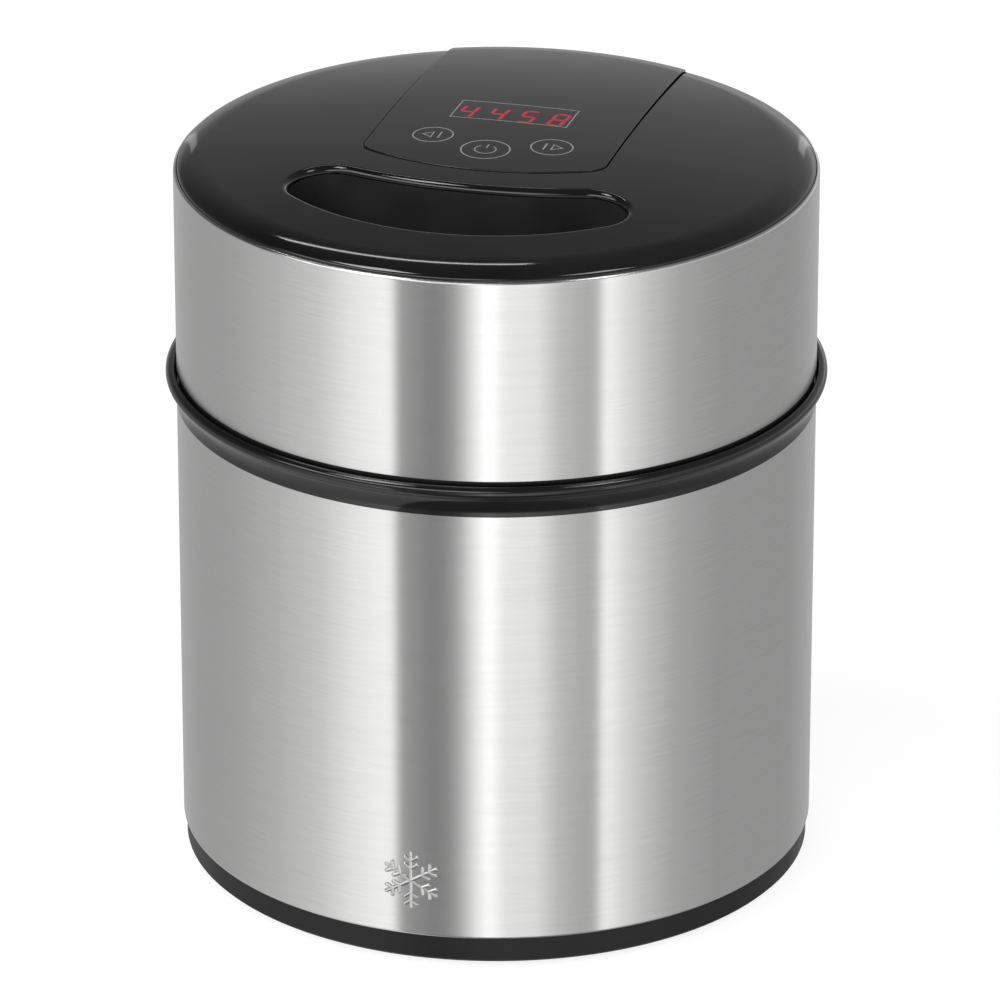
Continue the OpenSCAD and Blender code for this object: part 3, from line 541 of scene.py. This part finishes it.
def make_emblem():
    """A six-armed snowflake of half-round bars pressed out of the front of the shell."""
    centre_z = (box_mm("snowflake_emblem")[0][2] + box_mm("snowflake_emblem")[1][2]) / 2
    twig_length = EMBLEM_ARM * TWIG_LENGTH - EMBLEM_BAR / 2
    bars = []
    for k in range(6):
        out = math.radians(90 + 60 * k)
        way = Vector((math.cos(out), math.sin(out)))
        bars.append((way * 0, way * (EMBLEM_ARM - EMBLEM_BAR / 2)))
        for reach in TWIG_PLACES:
            for side in (-1, 1):
                turn = out + side * math.radians(TWIG_ANGLE)
                twig = Vector((math.cos(turn), math.sin(turn))) * twig_length
                bars.append((way * EMBLEM_ARM * reach, way * EMBLEM_ARM * reach + twig))
    skin = Skin()

    def place(u, v, rise):
        """A point of the flat emblem laid round the shell."""
        turn = u / SHELL_R
        r = SHELL_R + rise
        return (r * math.sin(turn), -r * math.cos(turn), centre_z + v)

    for a, b in bars:
        along = (b - a).normalized()
        start = math.atan2(along.y, along.x)
        spread = []
        for end, first in ((b, start - math.pi / 2), (a, start + math.pi / 2)):
            turns = [first + math.pi * i / 12 for i in range(13)]
            spread += [(end, Vector((math.cos(a), math.sin(a)))) for a in turns]
        rows, normals = [], []
        for degrees in (90, 75, 60, 45, 30, 15, 0):
            tilt = math.radians(degrees)
            d = EMBLEM_BAR / 2 * math.sin(tilt)
            rise = EMBLEM_RISE * math.cos(tilt)
            rows.append([place(*(end + way * d), rise) for end, way in spread])
            normals.append([])
            for end, way in spread:
                turn = (end.x + way.x * d) / SHELL_R
                side = Vector((math.cos(turn), math.sin(turn), 0))
                out = Vector((math.sin(turn), -math.cos(turn), 0))
                along_wall = side * way.x + Vector((0, 0, way.y))
                normals[-1].append(along_wall * math.sin(tilt) + out * math.cos(tilt))
        low = [place(*(end + way * EMBLEM_BAR / 2), -EMBLEM_SINK) for end, way in spread]
        skin.face(low[::-1])
        skin.strip(low, rows[0])
        for k in range(len(rows) - 1):
            skin.strip(rows[k], rows[k + 1], normals[k], normals[k + 1])
    return skin.make("emblem_skin")


def blocks(name, places, z0, z1):
    """Upright blocks round the axis: (angle, width, nearest radius, farthest radius) for each."""
    bm = bmesh.new()
    for angle, width, near, far in places:
        out = Vector((math.cos(math.radians(angle)), math.sin(math.radians(angle)), 0))
        side = Vector((-out.y, out.x, 0))
        half = width / 2
        corners = [out * r + side * w for r, w in ((near, -half), (far, -half), (far, half), (near, half))]
        low = [bm.verts.new((c.x * MM, c.y * MM, z0 * MM)) for c in corners]
        high = [bm.verts.new((c.x * MM, c.y * MM, z1 * MM)) for c in corners]
        bm.faces.new(low[::-1])
        bm.faces.new(high)
        for i in range(4):
            j = (i + 1) % 4
            bm.faces.new((low[i], low[j], high[j], high[i]))
    return new_object(name, mesh_of(name, bm))


def drill(name, radius, at, half_depth):
    """A round cutter along Y."""
    steps = 64
    bm = bmesh.new()
    turns = [math.tau * i / steps for i in range(steps)]
    ring = [(at[0] + radius * math.cos(a), at[2] + radius * math.sin(a)) for a in turns]
    rows = []
    for y in (at[1] - half_depth, at[1] + half_depth):
        rows.append([bm.verts.new((x * MM, y * MM, z * MM)) for x, z in ring])
    for i in range(steps):
        j = (i + 1) % steps
        bm.faces.new((rows[0][i], rows[0][j], rows[1][j], rows[1][i]))
    bm.faces.new(rows[0])
    bm.faces.new(rows[1])
    bmesh.ops.recalc_face_normals(bm, faces=bm.faces)
    return new_object(name, mesh_of(name, bm))


def cut(piece, cutter):
    """Takes the cutter out of the piece, applies it and removes the cutter."""
    modifier = piece.modifiers.new("cut", "BOOLEAN")
    modifier.operation = "DIFFERENCE"
    modifier.solver = "EXACT"
    modifier.object = cutter
    bpy.context.view_layer.update()
    graph = bpy.context.evaluated_depsgraph_get()
    mesh = bpy.data.meshes.new_from_object(piece.evaluated_get(graph))
    piece.modifiers.clear()
    piece.data = mesh
    smooth(mesh)
    bpy.data.objects.remove(cutter)


# ---- Marks on the panel ----

MARK_LIFT = 0.012
MARK_SINK = 0.05
MARK_WIDTH = 0.5
GLASS_LIFT = 0.004


def panel_top(p, lift):
    """A point of the plane set on the panel, or above it by lift."""
    r = math.hypot(*p)
    z = dome_height(r) + PANEL_LIFT + PANEL_SPREAD * r * r + lift
    return (p[0], p[1], min(z, DOME_TOP + PANEL_LIFT))


def ribbon(skin, points, width=MARK_WIDTH, closed=False):
    """A thin raised line along the points, with mitred corners."""
    count = len(points)
    left, right = [], []
    for i, p in enumerate(points):
        before = points[i - 1] if i or closed else None
        after = points[(i + 1) % count] if i < count - 1 or closed else None
        ways = []
        for a, b in ((before, p), (p, after)):
            if a is not None and b is not None:
                ways.append(Vector((b[0] - a[0], b[1] - a[1])).normalized())
        along = sum(ways, Vector((0, 0))).normalized()
        grow = width / 2 / max(0.35, along.dot(ways[0]))
        left.append((p[0] - along.y * grow, p[1] + along.x * grow))
        right.append((p[0] + along.y * grow, p[1] - along.x * grow))
    spans = range(count if closed else count - 1)
    for i in spans:
        j = (i + 1) % count
        tops = [panel_top(q, MARK_LIFT) for q in (right[i], right[j], left[j], left[i])]
        lows = [panel_top(q, -MARK_SINK) for q in (right[i], right[j], left[j], left[i])]
        skin.face(tops)
        skin.face(lows[::-1])
        skin.face([lows[0], lows[1], tops[1], tops[0]])
        skin.face([lows[2], lows[3], tops[3], tops[2]])
    if not closed:
        for i, flip in ((0, False), (count - 1, True)):
            end = [panel_top(left[i], -MARK_SINK), panel_top(right[i], -MARK_SINK),
                   panel_top(right[i], MARK_LIFT), panel_top(left[i], MARK_LIFT)]
            skin.face(end[::-1] if flip else end)


def plate(skin, outline, lift=MARK_LIFT):
    """A thin raised patch with an anticlockwise outline."""
    tops = [panel_top(p, lift) for p in outline]
    lows = [panel_top(p, -MARK_SINK) for p in outline]
    skin.face(tops)
    skin.face(lows[::-1])
    skin.strip(lows, tops)


def circle(cx, cy, r, start=0, end=360, steps=72):
    """Points of a ring, or of a part of one with both its ends."""
    count = steps if end - start == 360 else steps + 1
    turns = [math.radians(start + (end - start) * i / steps) for i in range(count)]
    return [(cx + r * math.cos(a), cy + r * math.sin(a)) for a in turns]


# Keys as (x, y, radius), and the display window as (left, right, front, back)
KEYS = [(-21.75, -3.7, 7.25), (-0.35, -13.3, 8.75), (21.15, -5.0, 7.5)]
WINDOW = (-20.9, 20.9, 15.2, 33.0)


def make_key_marks():
    """A ring round each key, back and forward signs, and the power sign."""
    fine = 0.42
    tip, base, half = 3.8, 0.2, 2.4
    bar_x, bar_half, bar_width = 2.4, 3.0, 0.55
    power_r, power_foot, power_head = 3.7, 1.3, 4.6
    skin = Skin()
    for x, y, r in KEYS:
        ribbon(skin, circle(x, y, r - MARK_WIDTH / 2), closed=True)
    for side, key in ((-1, KEYS[0]), (1, KEYS[2])):
        x, y = key[:2]
        foot = x + side * base
        triangle = [(x + side * tip, y), (foot, y + half * side), (foot, y - half * side)]
        ribbon(skin, triangle, fine, closed=True)
        ribbon(skin, [(x - side * bar_x, y - bar_half), (x - side * bar_x, y + bar_half)], bar_width)
    x, y, _ = KEYS[1]
    ribbon(skin, circle(x, y, power_r, 125, 415, 48), 0.45)
    ribbon(skin, [(x, y + power_foot), (x, y + power_head)])
    return skin.make("key_marks")


def make_display_frame():
    """A thin printed line round the window, in short lengths that follow the panel's curve."""
    steps = 12
    skin = Skin()
    x0, x1, y0, y1 = WINDOW
    corners = [(x1, y1), (x0, y1), (x0, y0), (x1, y0)]
    line = []
    for i in range(4):
        a, b = corners[i], corners[(i + 1) % 4]
        line += [(a[0] + (b[0] - a[0]) * k / steps, a[1] + (b[1] - a[1]) * k / steps) for k in range(steps)]
    ribbon(skin, line, 0.42, closed=True)
    return skin.make("display_frame")


def make_display_glass():
    """The dark window, flush with the panel but for a hair."""
    skin = Skin()
    x0, x1, y0, y1 = WINDOW
    steps = 16
    for i in range(steps):
        a, b = x0 + (x1 - x0) * i / steps, x0 + (x1 - x0) * (i + 1) / steps
        corners = [(a, y0), (b, y0), (b, y1), (a, y1)]
        skin.face([panel_top(p, GLASS_LIFT) for p in corners],
                  [dome_normal(p[0], p[1], PANEL_SPREAD) for p in corners])
        skin.face([panel_top(p, -MARK_SINK) for p in reversed(corners)])
    low = [(x0 + (x1 - x0) * i / steps, y0) for i in range(steps + 1)]
    high = [(x1 - (x1 - x0) * i / steps, y1) for i in range(steps + 1)]
    edge = low + high
    skin.strip([panel_top(p, -MARK_SINK) for p in edge], [panel_top(p, GLASS_LIFT) for p in edge])
    return skin.make("display_glass")


# Which of a digit's bars are lit: top, upper right, lower right, foot, lower left, upper left, middle
BARS = {4: (1, 2, 5, 6), 5: (0, 2, 3, 5, 6), 8: (0, 1, 2, 3, 4, 5, 6)}
DIGITS = [(-16.3, 4), (-5.35, 4), (5.6, 5), (16.55, 8)]
DIGIT_Y, DIGIT_H, DIGIT_W, DIGIT_BAR = 21.5, 11.3, 4.7, 1.2
DIGIT_SLANT = math.tan(math.radians(6))


def make_digits():
    """A generic timer reading in seven-bar figures."""
    skin = Skin()

    def lean(x, y):
        return (x + (y - DIGIT_Y) * DIGIT_SLANT, y)

    def bar(ax, ay, bx, by):
        way = Vector((bx - ax, by - ay)).normalized()
        off = Vector((-way.y, way.x)) * DIGIT_BAR / 2
        gap = DIGIT_BAR * 0.12
        a, b = Vector((ax, ay)) + way * gap, Vector((bx, by)) - way * gap
        inset = way * DIGIT_BAR / 2
        outline = [a, a + inset - off, b - inset - off, b, b - inset + off, a + inset + off]
        plate(skin, [lean(q.x, q.y) for q in outline])

    w, h = DIGIT_W / 2, DIGIT_H / 2
    ends = [
        (-w, h, w, h), (w, 0, w, h), (w, -h, w, 0), (-w, -h, w, -h),
        (-w, -h, -w, 0), (-w, 0, -w, h), (-w, 0, w, 0),
    ]
    for x, figure in DIGITS:
        for k in BARS[figure]:
            ax, ay, bx, by = ends[k]
            bar(x + ax, DIGIT_Y + ay, x + bx, DIGIT_Y + by)
    return skin.make("display_digits")


def make_colon():
    """The two dots between the figures."""
    colon_x, dot_r = 0.2, 0.55
    skin = Skin()
    for dy in (-3.0, 2.8):
        plate(skin, circle(colon_x + dy * DIGIT_SLANT, DIGIT_Y + dy, dot_r, steps=20))
    return skin.make("display_colon")


# ---- Materials ----


class Finish:
    """A material whose nodes are added one after another."""

    def __init__(self, name):
        self.material = bpy.data.materials.new(name)
        self.material.use_nodes = True
        self.nodes = self.material.node_tree.nodes
        self.links = self.material.node_tree.links
        self.shader = self.nodes["Principled BSDF"]

    def set(self, **values):
        for name, value in values.items():
            self.shader.inputs[name.replace("_", " ")].default_value = value

    def add(self, kind, inputs=None, **settings):
        node = self.nodes.new(kind)
        for name, value in settings.items():
            setattr(node, name, value)
        for name, value in (inputs or {}).items():
            if isinstance(value, bpy.types.NodeSocket):
                self.links.new(value, node.inputs[name])
            else:
                node.inputs[name].default_value = value
        return node

    def noise(self, scale, detail=3.0, stretch=(1, 1, 1), roughness=0.5):
        where = self.add("ShaderNodeTexCoord")
        scales = [scale * s for s in stretch]
        mapping = self.add("ShaderNodeMapping", {"Vector": where.outputs["Object"], "Scale": scales})
        placed = mapping.outputs["Vector"]
        settings = {"Vector": placed, "Scale": 1.0, "Detail": detail, "Roughness": roughness}
        node = self.add("ShaderNodeTexNoise", settings)
        return node.outputs["Fac"]

    def spread(self, value, low, high):
        """The value's usual 0.3 to 0.7 stretched to low to high."""
        settings = {"Value": value, "From Min": 0.3, "From Max": 0.7, "To Min": low, "To Max": high}
        node = self.add("ShaderNodeMapRange", settings)
        return node.outputs["Result"]

    def blend(self, value, first, second):
        node = self.add("ShaderNodeMix", data_type="RGBA")
        self.links.new(value, node.inputs[0])
        node.inputs[6].default_value = (*first, 1)
        node.inputs[7].default_value = (*second, 1)
        return node.outputs[2]

    def to(self, name, output):
        self.links.new(output, self.shader.inputs[name])

    def bump(self, height, distance, strength=1.0):
        node = self.add("ShaderNodeBump", {"Height": height, "Distance": distance, "Strength": strength})
        return node.outputs["Normal"]


def shade(colour, factor):
    return [min(1.0, c * factor) for c in colour]


def plastic(name, colour, roughness, grain=2500, depth=0.00001, mottle=0.12, soft=0.0, specular=0.5):
    """Moulded plastic: fine grain, a slow change of colour and gloss."""
    m = Finish(name)
    slow = m.noise(60, 3)
    fine = m.noise(grain, 2)
    m.to("Base Color", m.blend(m.spread(slow, 0, 1), shade(colour, 1 - mottle), shade(colour, 1 + mottle)))
    m.to("Roughness", m.spread(slow, roughness * 0.85, roughness * 1.15))
    m.to("Normal", m.bump(fine, depth))
    m.set(Subsurface_Weight=soft, Subsurface_Scale=0.002, Specular_IOR_Level=specular)
    return m.material


def polished(name, colour, roughness=0.06):
    """Polished black plastic: almost a mirror, with a faint unevenness from the mould."""
    m = Finish(name)
    slow = m.noise(45, 2)
    wave = m.noise(140, 1)
    dust = m.noise(900, 2, roughness=0.6)
    m.to("Base Color", m.blend(m.spread(slow, 0, 1), shade(colour, 0.8), shade(colour, 1.25)))
    m.to("Roughness", m.spread(dust, roughness * 0.8, roughness * 1.4))
    m.to("Normal", m.bump(wave, 0.00001, 0.25))
    m.set(Specular_IOR_Level=0.5)
    return m.material


def brushed(name, colour, roughness=0.2):
    """Steel sheet brushed round the shell: fine level lines, and highlights drawn out across them."""
    m = Finish(name)
    lines = m.noise(1, 5, (70, 70, 3400), 0.6)
    bands = m.noise(1, 3, (22, 22, 420), 0.6)
    cloud = m.noise(14, 3)
    m.to("Base Color", m.blend(m.spread(lines, 0, 1), shade(colour, 0.955), shade(colour, 1.04)))
    two = m.add("ShaderNodeMath", {0: lines, 1: bands}, operation="ADD")
    three = m.add("ShaderNodeMath", {0: two.outputs[0], 1: cloud}, operation="ADD")
    mean = m.add("ShaderNodeMath", {0: three.outputs[0], 1: 1 / 3}, operation="MULTIPLY")
    m.to("Roughness", m.spread(mean.outputs[0], roughness * 0.85, roughness * 1.15))
    m.to("Normal", m.bump(lines, 0.000006, 0.5))
    tangent = m.add("ShaderNodeTangent", direction_type="RADIAL", axis="Z")
    m.to("Tangent", tangent.outputs["Tangent"])
    m.set(Metallic=1.0, Anisotropic=1.0, Anisotropic_Rotation=0.25)
    return m.material


def metal(name, colour, roughness, stretch=(1, 1, 1)):
    """Bare or plated metal with fine marks, drawn out where the part was turned or drawn."""
    m = Finish(name)
    marks = m.noise(900, 4, stretch)
    m.to("Base Color", m.blend(m.spread(marks, 0, 1), shade(colour, 0.9), shade(colour, 1.08)))
    m.to("Roughness", m.spread(marks, roughness * 0.8, roughness * 1.2))
    m.to("Normal", m.bump(marks, 0.000004, 0.6))
    m.set(Metallic=1.0)
    return m.material


def glowing(name, colour, strength):
    """A lit display segment under dark glass."""
    m = Finish(name)
    cells = m.noise(1800, 2)
    m.to("Base Color", m.blend(m.spread(cells, 0, 1), shade(colour, 0.1), shade(colour, 0.14)))
    m.to("Emission Color", m.blend(m.spread(cells, 0, 1), shade(colour, 0.85), colour))
    m.set(Roughness=0.25, Emission_Strength=strength, Specular_IOR_Level=0.3)
    return m.material


FINISHES = {
    "brushed_steel": brushed("brushed_steel", (0.64, 0.64, 0.635)),
    "gloss_black": polished("gloss_black", (0.0075, 0.0075, 0.0079)),
    "satin_black": plastic("satin_black", (0.008, 0.008, 0.0084), 0.4, 1800, 0.00002, specular=0.28),
    "rubber_black": plastic("rubber_black", (0.018, 0.018, 0.018), 0.72, 1400, 0.00004, specular=0.3),
    "white_plastic": plastic("white_plastic", (0.78, 0.78, 0.76), 0.34, 1600, 0.00001, 0.02, soft=0.15),
    "grey_plastic": plastic("grey_plastic", (0.42, 0.43, 0.44), 0.42, 1700, 0.00002, 0.05),
    "aluminium": metal("aluminium", (0.74, 0.75, 0.76), 0.27, (0.05, 0.05, 3)),
    "coolant": plastic("coolant", (0.42, 0.62, 0.82), 0.2, 500, 0.00001, 0.06, soft=0.3),
    "zinc": metal("zinc", (0.62, 0.63, 0.64), 0.3),
    "steel_pin": metal("steel_pin", (0.55, 0.55, 0.56), 0.18, (0.2, 0.2, 4)),
    "gear_plastic": plastic("gear_plastic", (0.8, 0.77, 0.68), 0.38, 1500, 0.00001, 0.03, soft=0.1),
    "bronze": metal("bronze", (0.55, 0.38, 0.2), 0.42),
    "board_green": plastic("board_green", (0.015, 0.12, 0.045), 0.3, 700, 0.00003, 0.15),
    "display_red": plastic("display_red", (0.09, 0.008, 0.008), 0.15, 900, 0.00001, 0.1),
    "component": plastic("component", (0.03, 0.07, 0.2), 0.35),
    "tape_yellow": plastic("tape_yellow", (0.7, 0.55, 0.12), 0.3, 300, 0.00003, 0.08),
    "spring_gold": metal("spring_gold", (0.75, 0.55, 0.2), 0.2),
    "ribbon_grey": plastic("ribbon_grey", (0.4, 0.42, 0.45), 0.5),
    "lead_red": plastic("lead_red", (0.4, 0.02, 0.02), 0.4),
    "can_steel": metal("can_steel", (0.5, 0.51, 0.52), 0.32),
    "copper": metal("copper", (0.62, 0.27, 0.1), 0.25, (1, 1, 6)),
    "ferrite": plastic("ferrite", (0.05, 0.05, 0.053), 0.6, 900, 0.00004),
}


def paint(piece, finish):
    piece.data.materials.clear()
    piece.data.materials.append(finish)


# the CAD nodes keep their material slots, each with the finish of the node's own slot
for part in frame["record"]["subparts"]:
    finish = FINISHES[part["material_slot"]]
    slots = frame["nodes"][part["node"]].data.materials
    if not slots:
        slots.append(finish)
    for k in range(len(slots)):
        slots[k] = finish


# ---- Outside surfaces that stand for CAD nodes ----


def install(piece, body, slot, *nodes):
    paint(piece, FINISHES[slot])
    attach(piece, body)
    if nodes:
        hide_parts(*nodes)
    return piece


install(make_lower_shell(), "housing", "brushed_steel", "lower_shell")
install(make_head_band(), "head", "brushed_steel", "head_band")
install(make_collar(), "housing", "gloss_black", "collar_ring")
install(make_cover(), "head", "gloss_black", "top_cover")
install(make_panel(), "head", "gloss_black", "control_panel")
chute = install(make_chute(), "head", "gloss_black", "fill_chute")
# painted light: the chute's black is set lighter than the cover's plastic to lift the shade inside the chute
paint(chute, plastic("chute_black_painted_light", (0.027, 0.027, 0.028), 0.5, 1500, 0.00001, specular=0.3))

# ---- Printed marks and the lit figures ----

marks = plastic("mark_grey", (0.36, 0.36, 0.36), 0.35, 3000, 0.000002, 0.1)
for piece in (make_key_marks(), make_display_frame()):
    install(piece, "head", "grey_plastic")
    paint(piece, marks)
glass = install(make_display_glass(), "head", "display_red")
paint(glass, polished("display_glass", (0.006, 0.004, 0.0068), 0.07))
digits = install(make_digits(), "head", "display_red")
paint(digits, glowing("digit_red", (0.5, 0.004, 0.022), 0.9))
colon = install(make_colon(), "head", "display_red")
paint(colon, glowing("colon_red", (0.14, 0.006, 0.01), 0.4))

install(make_emblem(), "housing", "brushed_steel", "snowflake_emblem")

# ---- Camera ----

AZIMUTH = math.radians(15.26)
CAMERA_REACH = 2.4887
CAMERA_Z = 1.2058
AIM_Z = 0.1279

camera_data = bpy.data.cameras.new("camera")
camera_data.sensor_width = 36.0
camera_data.lens = 276.8
camera_data.shift_x = 0.0035
camera_data.clip_end = 50
camera = new_object("camera", camera_data)
camera.location = (CAMERA_REACH * math.sin(AZIMUTH), -CAMERA_REACH * math.cos(AZIMUTH), CAMERA_Z)
aim = Vector((0, 0, AIM_Z)) - camera.location
camera.rotation_euler = aim.to_track_quat("-Z", "Y").to_euler()
bpy.context.scene.camera = camera

# ---- Studio ----

# Brightness of the studio all round, from straight behind the object on the camera's line and back again:
# (degrees from the camera's side, brightness at the height of the steel)
ROUND = [
    (-180, 0.58), (-140, 0.48), (-110, 0.51), (-84, 0.67), (-66, 0.87), (-52, 1.3), (-42, 1.52), (-37, 1.62),
    (-35.6, 0.46), (-30, 0.42), (-22, 0.31), (-17, 0.42), (-13, 0.74), (-8, 1.5), (-3, 2.25), (3, 1.63),
    (14, 1.5), (22, 0.96), (32, 0.7), (36.9, 0.78), (38.2, 1.82), (46, 1.3), (55, 0.93), (67, 0.6),
    (85, 0.45), (110, 0.42), (130, 0.41), (180, 0.58),
]
ROUND_TOP = 3.0
# The same for the floor close to the object, which only steep reflections see
NEAR_FLOOR = [
    (-180, 0.5), (-100, 0.75), (-60, 0.85), (-38, 0.85), (-36, 0.16), (0, 0.13), (37, 0.16), (39, 0.3),
    (100, 0.42), (180, 0.5),
]
# A long softbox over the camera and to its left: (degrees, share), (sine of the elevation, share), brightness
SOFTBOX = [(-92, 0.0), (-80, 1.0), (-8, 1.0), (6, 0.0)]
SOFTBOX_RISE = [(0.4, 0.0), (0.44, 1.0), (0.66, 1.0), (0.7, 0.0)]
SOFTBOX_LEVEL = 3.4
# Overhead: (sine of the elevation, brightness)
OVERHEAD = [
    (0.0, 0.8), (0.1, 0.85), (0.2, 0.5), (0.27, 0.38), (0.4, 0.3), (0.5, 0.22), (0.65, 0.14), (1.0, 0.12),
]
# How much brighter the right is overhead, and the least and most that this may do
SIDE_TILT, TILT_LEAST, TILT_MOST = 1.3, 0.45, 1.6
# Sines of the elevations between which the near floor, the surround and the overhead part run into each other
NEAR_FADE = (-0.6, -0.5)
HIGH_FADE = (-0.06, 0.2)


def make_world():
    """The surround that lights the object and shows in its gloss."""
    world = bpy.data.worlds.new("studio")
    bpy.context.scene.world = world
    world.use_nodes = True
    nodes, links = world.node_tree.nodes, world.node_tree.links
    background = nodes["Background"]

    def add(kind, *inputs, **settings):
        node = nodes.new(kind)
        for name, value in settings.items():
            setattr(node, name, value)
        for k, value in enumerate(inputs):
            if isinstance(value, bpy.types.NodeSocket):
                links.new(value, node.inputs[k])
            elif value is not None:
                node.inputs[k].default_value = value
        return node

    def math_node(operation, *inputs):
        return add("ShaderNodeMath", *inputs, operation=operation).outputs[0]

    def all_round(stops):
        """Stops in degrees turned into shares of the whole turn."""
        return [((degrees + 180) / 360, level) for degrees, level in stops]

    def ramp(value, stops, top):
        node = add("ShaderNodeValToRGB", value)
        elements = node.color_ramp.elements
        while len(elements) < len(stops):
            elements.new(1.0)
        for element, (at, level) in zip(elements, stops):
            element.position = at
            element.color = (level / top,) * 3 + (1,)
        return math_node("MULTIPLY", node.outputs["Color"], top)

    where = add("ShaderNodeTexCoord")
    turned = add("ShaderNodeVectorRotate", where.outputs["Generated"], rotation_type="Z_AXIS")
    turned.inputs["Angle"].default_value = -AZIMUTH
    split = add("ShaderNodeSeparateXYZ", turned.outputs[0])
    x, y, z = split.outputs
    forward = math_node("MULTIPLY", y, -1.0)
    angle = math_node("ARCTAN2", x, forward)
    turn = math_node("MULTIPLY_ADD", angle, 1 / math.tau, 0.5)
    low = ramp(turn, all_round(ROUND), ROUND_TOP)
    near = ramp(turn, all_round(NEAR_FLOOR), ROUND_TOP)
    tilt = math_node("MULTIPLY_ADD", x, SIDE_TILT, 1.0)
    tilt = math_node("MINIMUM", math_node("MAXIMUM", tilt, TILT_LEAST), TILT_MOST)
    overhead = math_node("MULTIPLY", ramp(z, OVERHEAD, 1.0), tilt)
    softbox = math_node("MULTIPLY", ramp(turn, all_round(SOFTBOX), 1.0), ramp(z, SOFTBOX_RISE, 1.0))
    high = math_node("MULTIPLY_ADD", softbox, SOFTBOX_LEVEL, overhead)

    def fade(first, second, z0, z1):
        """From the first to the second as the height goes from z0 to z1."""
        share = add("ShaderNodeMapRange", z, z0, z1, 0.0, 1.0, interpolation_type="SMOOTHSTEP").outputs[0]
        mix = add("ShaderNodeMix", data_type="FLOAT")
        links.new(share, mix.inputs[0])
        links.new(first, mix.inputs[2])
        links.new(second, mix.inputs[3])
        return mix.outputs[0]

    level = fade(fade(near, low, *NEAR_FADE), high, *HIGH_FADE)
    links.new(level, background.inputs["Strength"])
    background.inputs["Color"].default_value = (1, 1, 1, 1)


make_world()


LIGHT_AIM_Z = 0.15


def area_light(name, azimuth, elevation, distance, width, height, power, roll=0.0):
    """A lamp aimed at the object; its azimuth is counted from the camera's side."""
    data = bpy.data.lights.new(name, "AREA")
    data.shape = "RECTANGLE"
    data.size, data.size_y = width, height
    data.energy = power
    light = new_object(name, data)
    a, e = math.radians(azimuth) + AZIMUTH, math.radians(elevation)
    centre = Vector((0, 0, LIGHT_AIM_Z))
    way = Vector((math.sin(a) * math.cos(e), -math.cos(a) * math.cos(e), math.sin(e)))
    light.location = centre + distance * way
    facing = (centre - light.location).to_track_quat("-Z", "Y")
    light.rotation_euler = (facing @ Quaternion((0, 0, 1), math.radians(roll))).to_euler()
    light.visible_camera = False


area_light("back_strip", -168, 50, 2.6, 0.9, 0.12, 2.2, -15)
area_light("left_strip", -164.5, 9, 2.6, 0.1, 0.8, 0.17, 6)
area_light("right_strip", 163.5, 9, 2.6, 0.12, 0.85, 0.26, -6)
area_light("key_left", -80, 66, 2.4, 0.6, 0.6, 11)
area_light("fill_right", 60, 64, 2.6, 0.6, 0.6, 7)

FLOOR_REACH = 6.0


def make_floor():
    """A plain pale floor, lit by itself so that it stays white, and left out of the gloss."""
    mesh = bpy.data.meshes.new("floor")
    corners = [(x * FLOOR_REACH, y * FLOOR_REACH, 0) for x, y in ((-1, -1), (1, -1), (1, 1), (-1, 1))]
    mesh.from_pydata(corners, [], [(0, 1, 2, 3)])
    made = new_object("floor", mesh)
    made.visible_glossy = False
    m = Finish("floor")
    slow = m.noise(3, 2)
    m.to("Base Color", m.blend(slow, (0.3, 0.3, 0.3), (0.32, 0.32, 0.32)))
    m.to("Emission Color", m.blend(slow, (1.0, 1.0, 1.0), (0.98, 0.98, 0.98)))
    m.set(Roughness=0.9, Emission_Strength=0.86)
    paint(made, m.material)
    return made


floor = make_floor()

view = bpy.context.scene.view_settings
view.view_transform = "Standard"
view.look = "None"
view.exposure = 0
view.gamma = 1
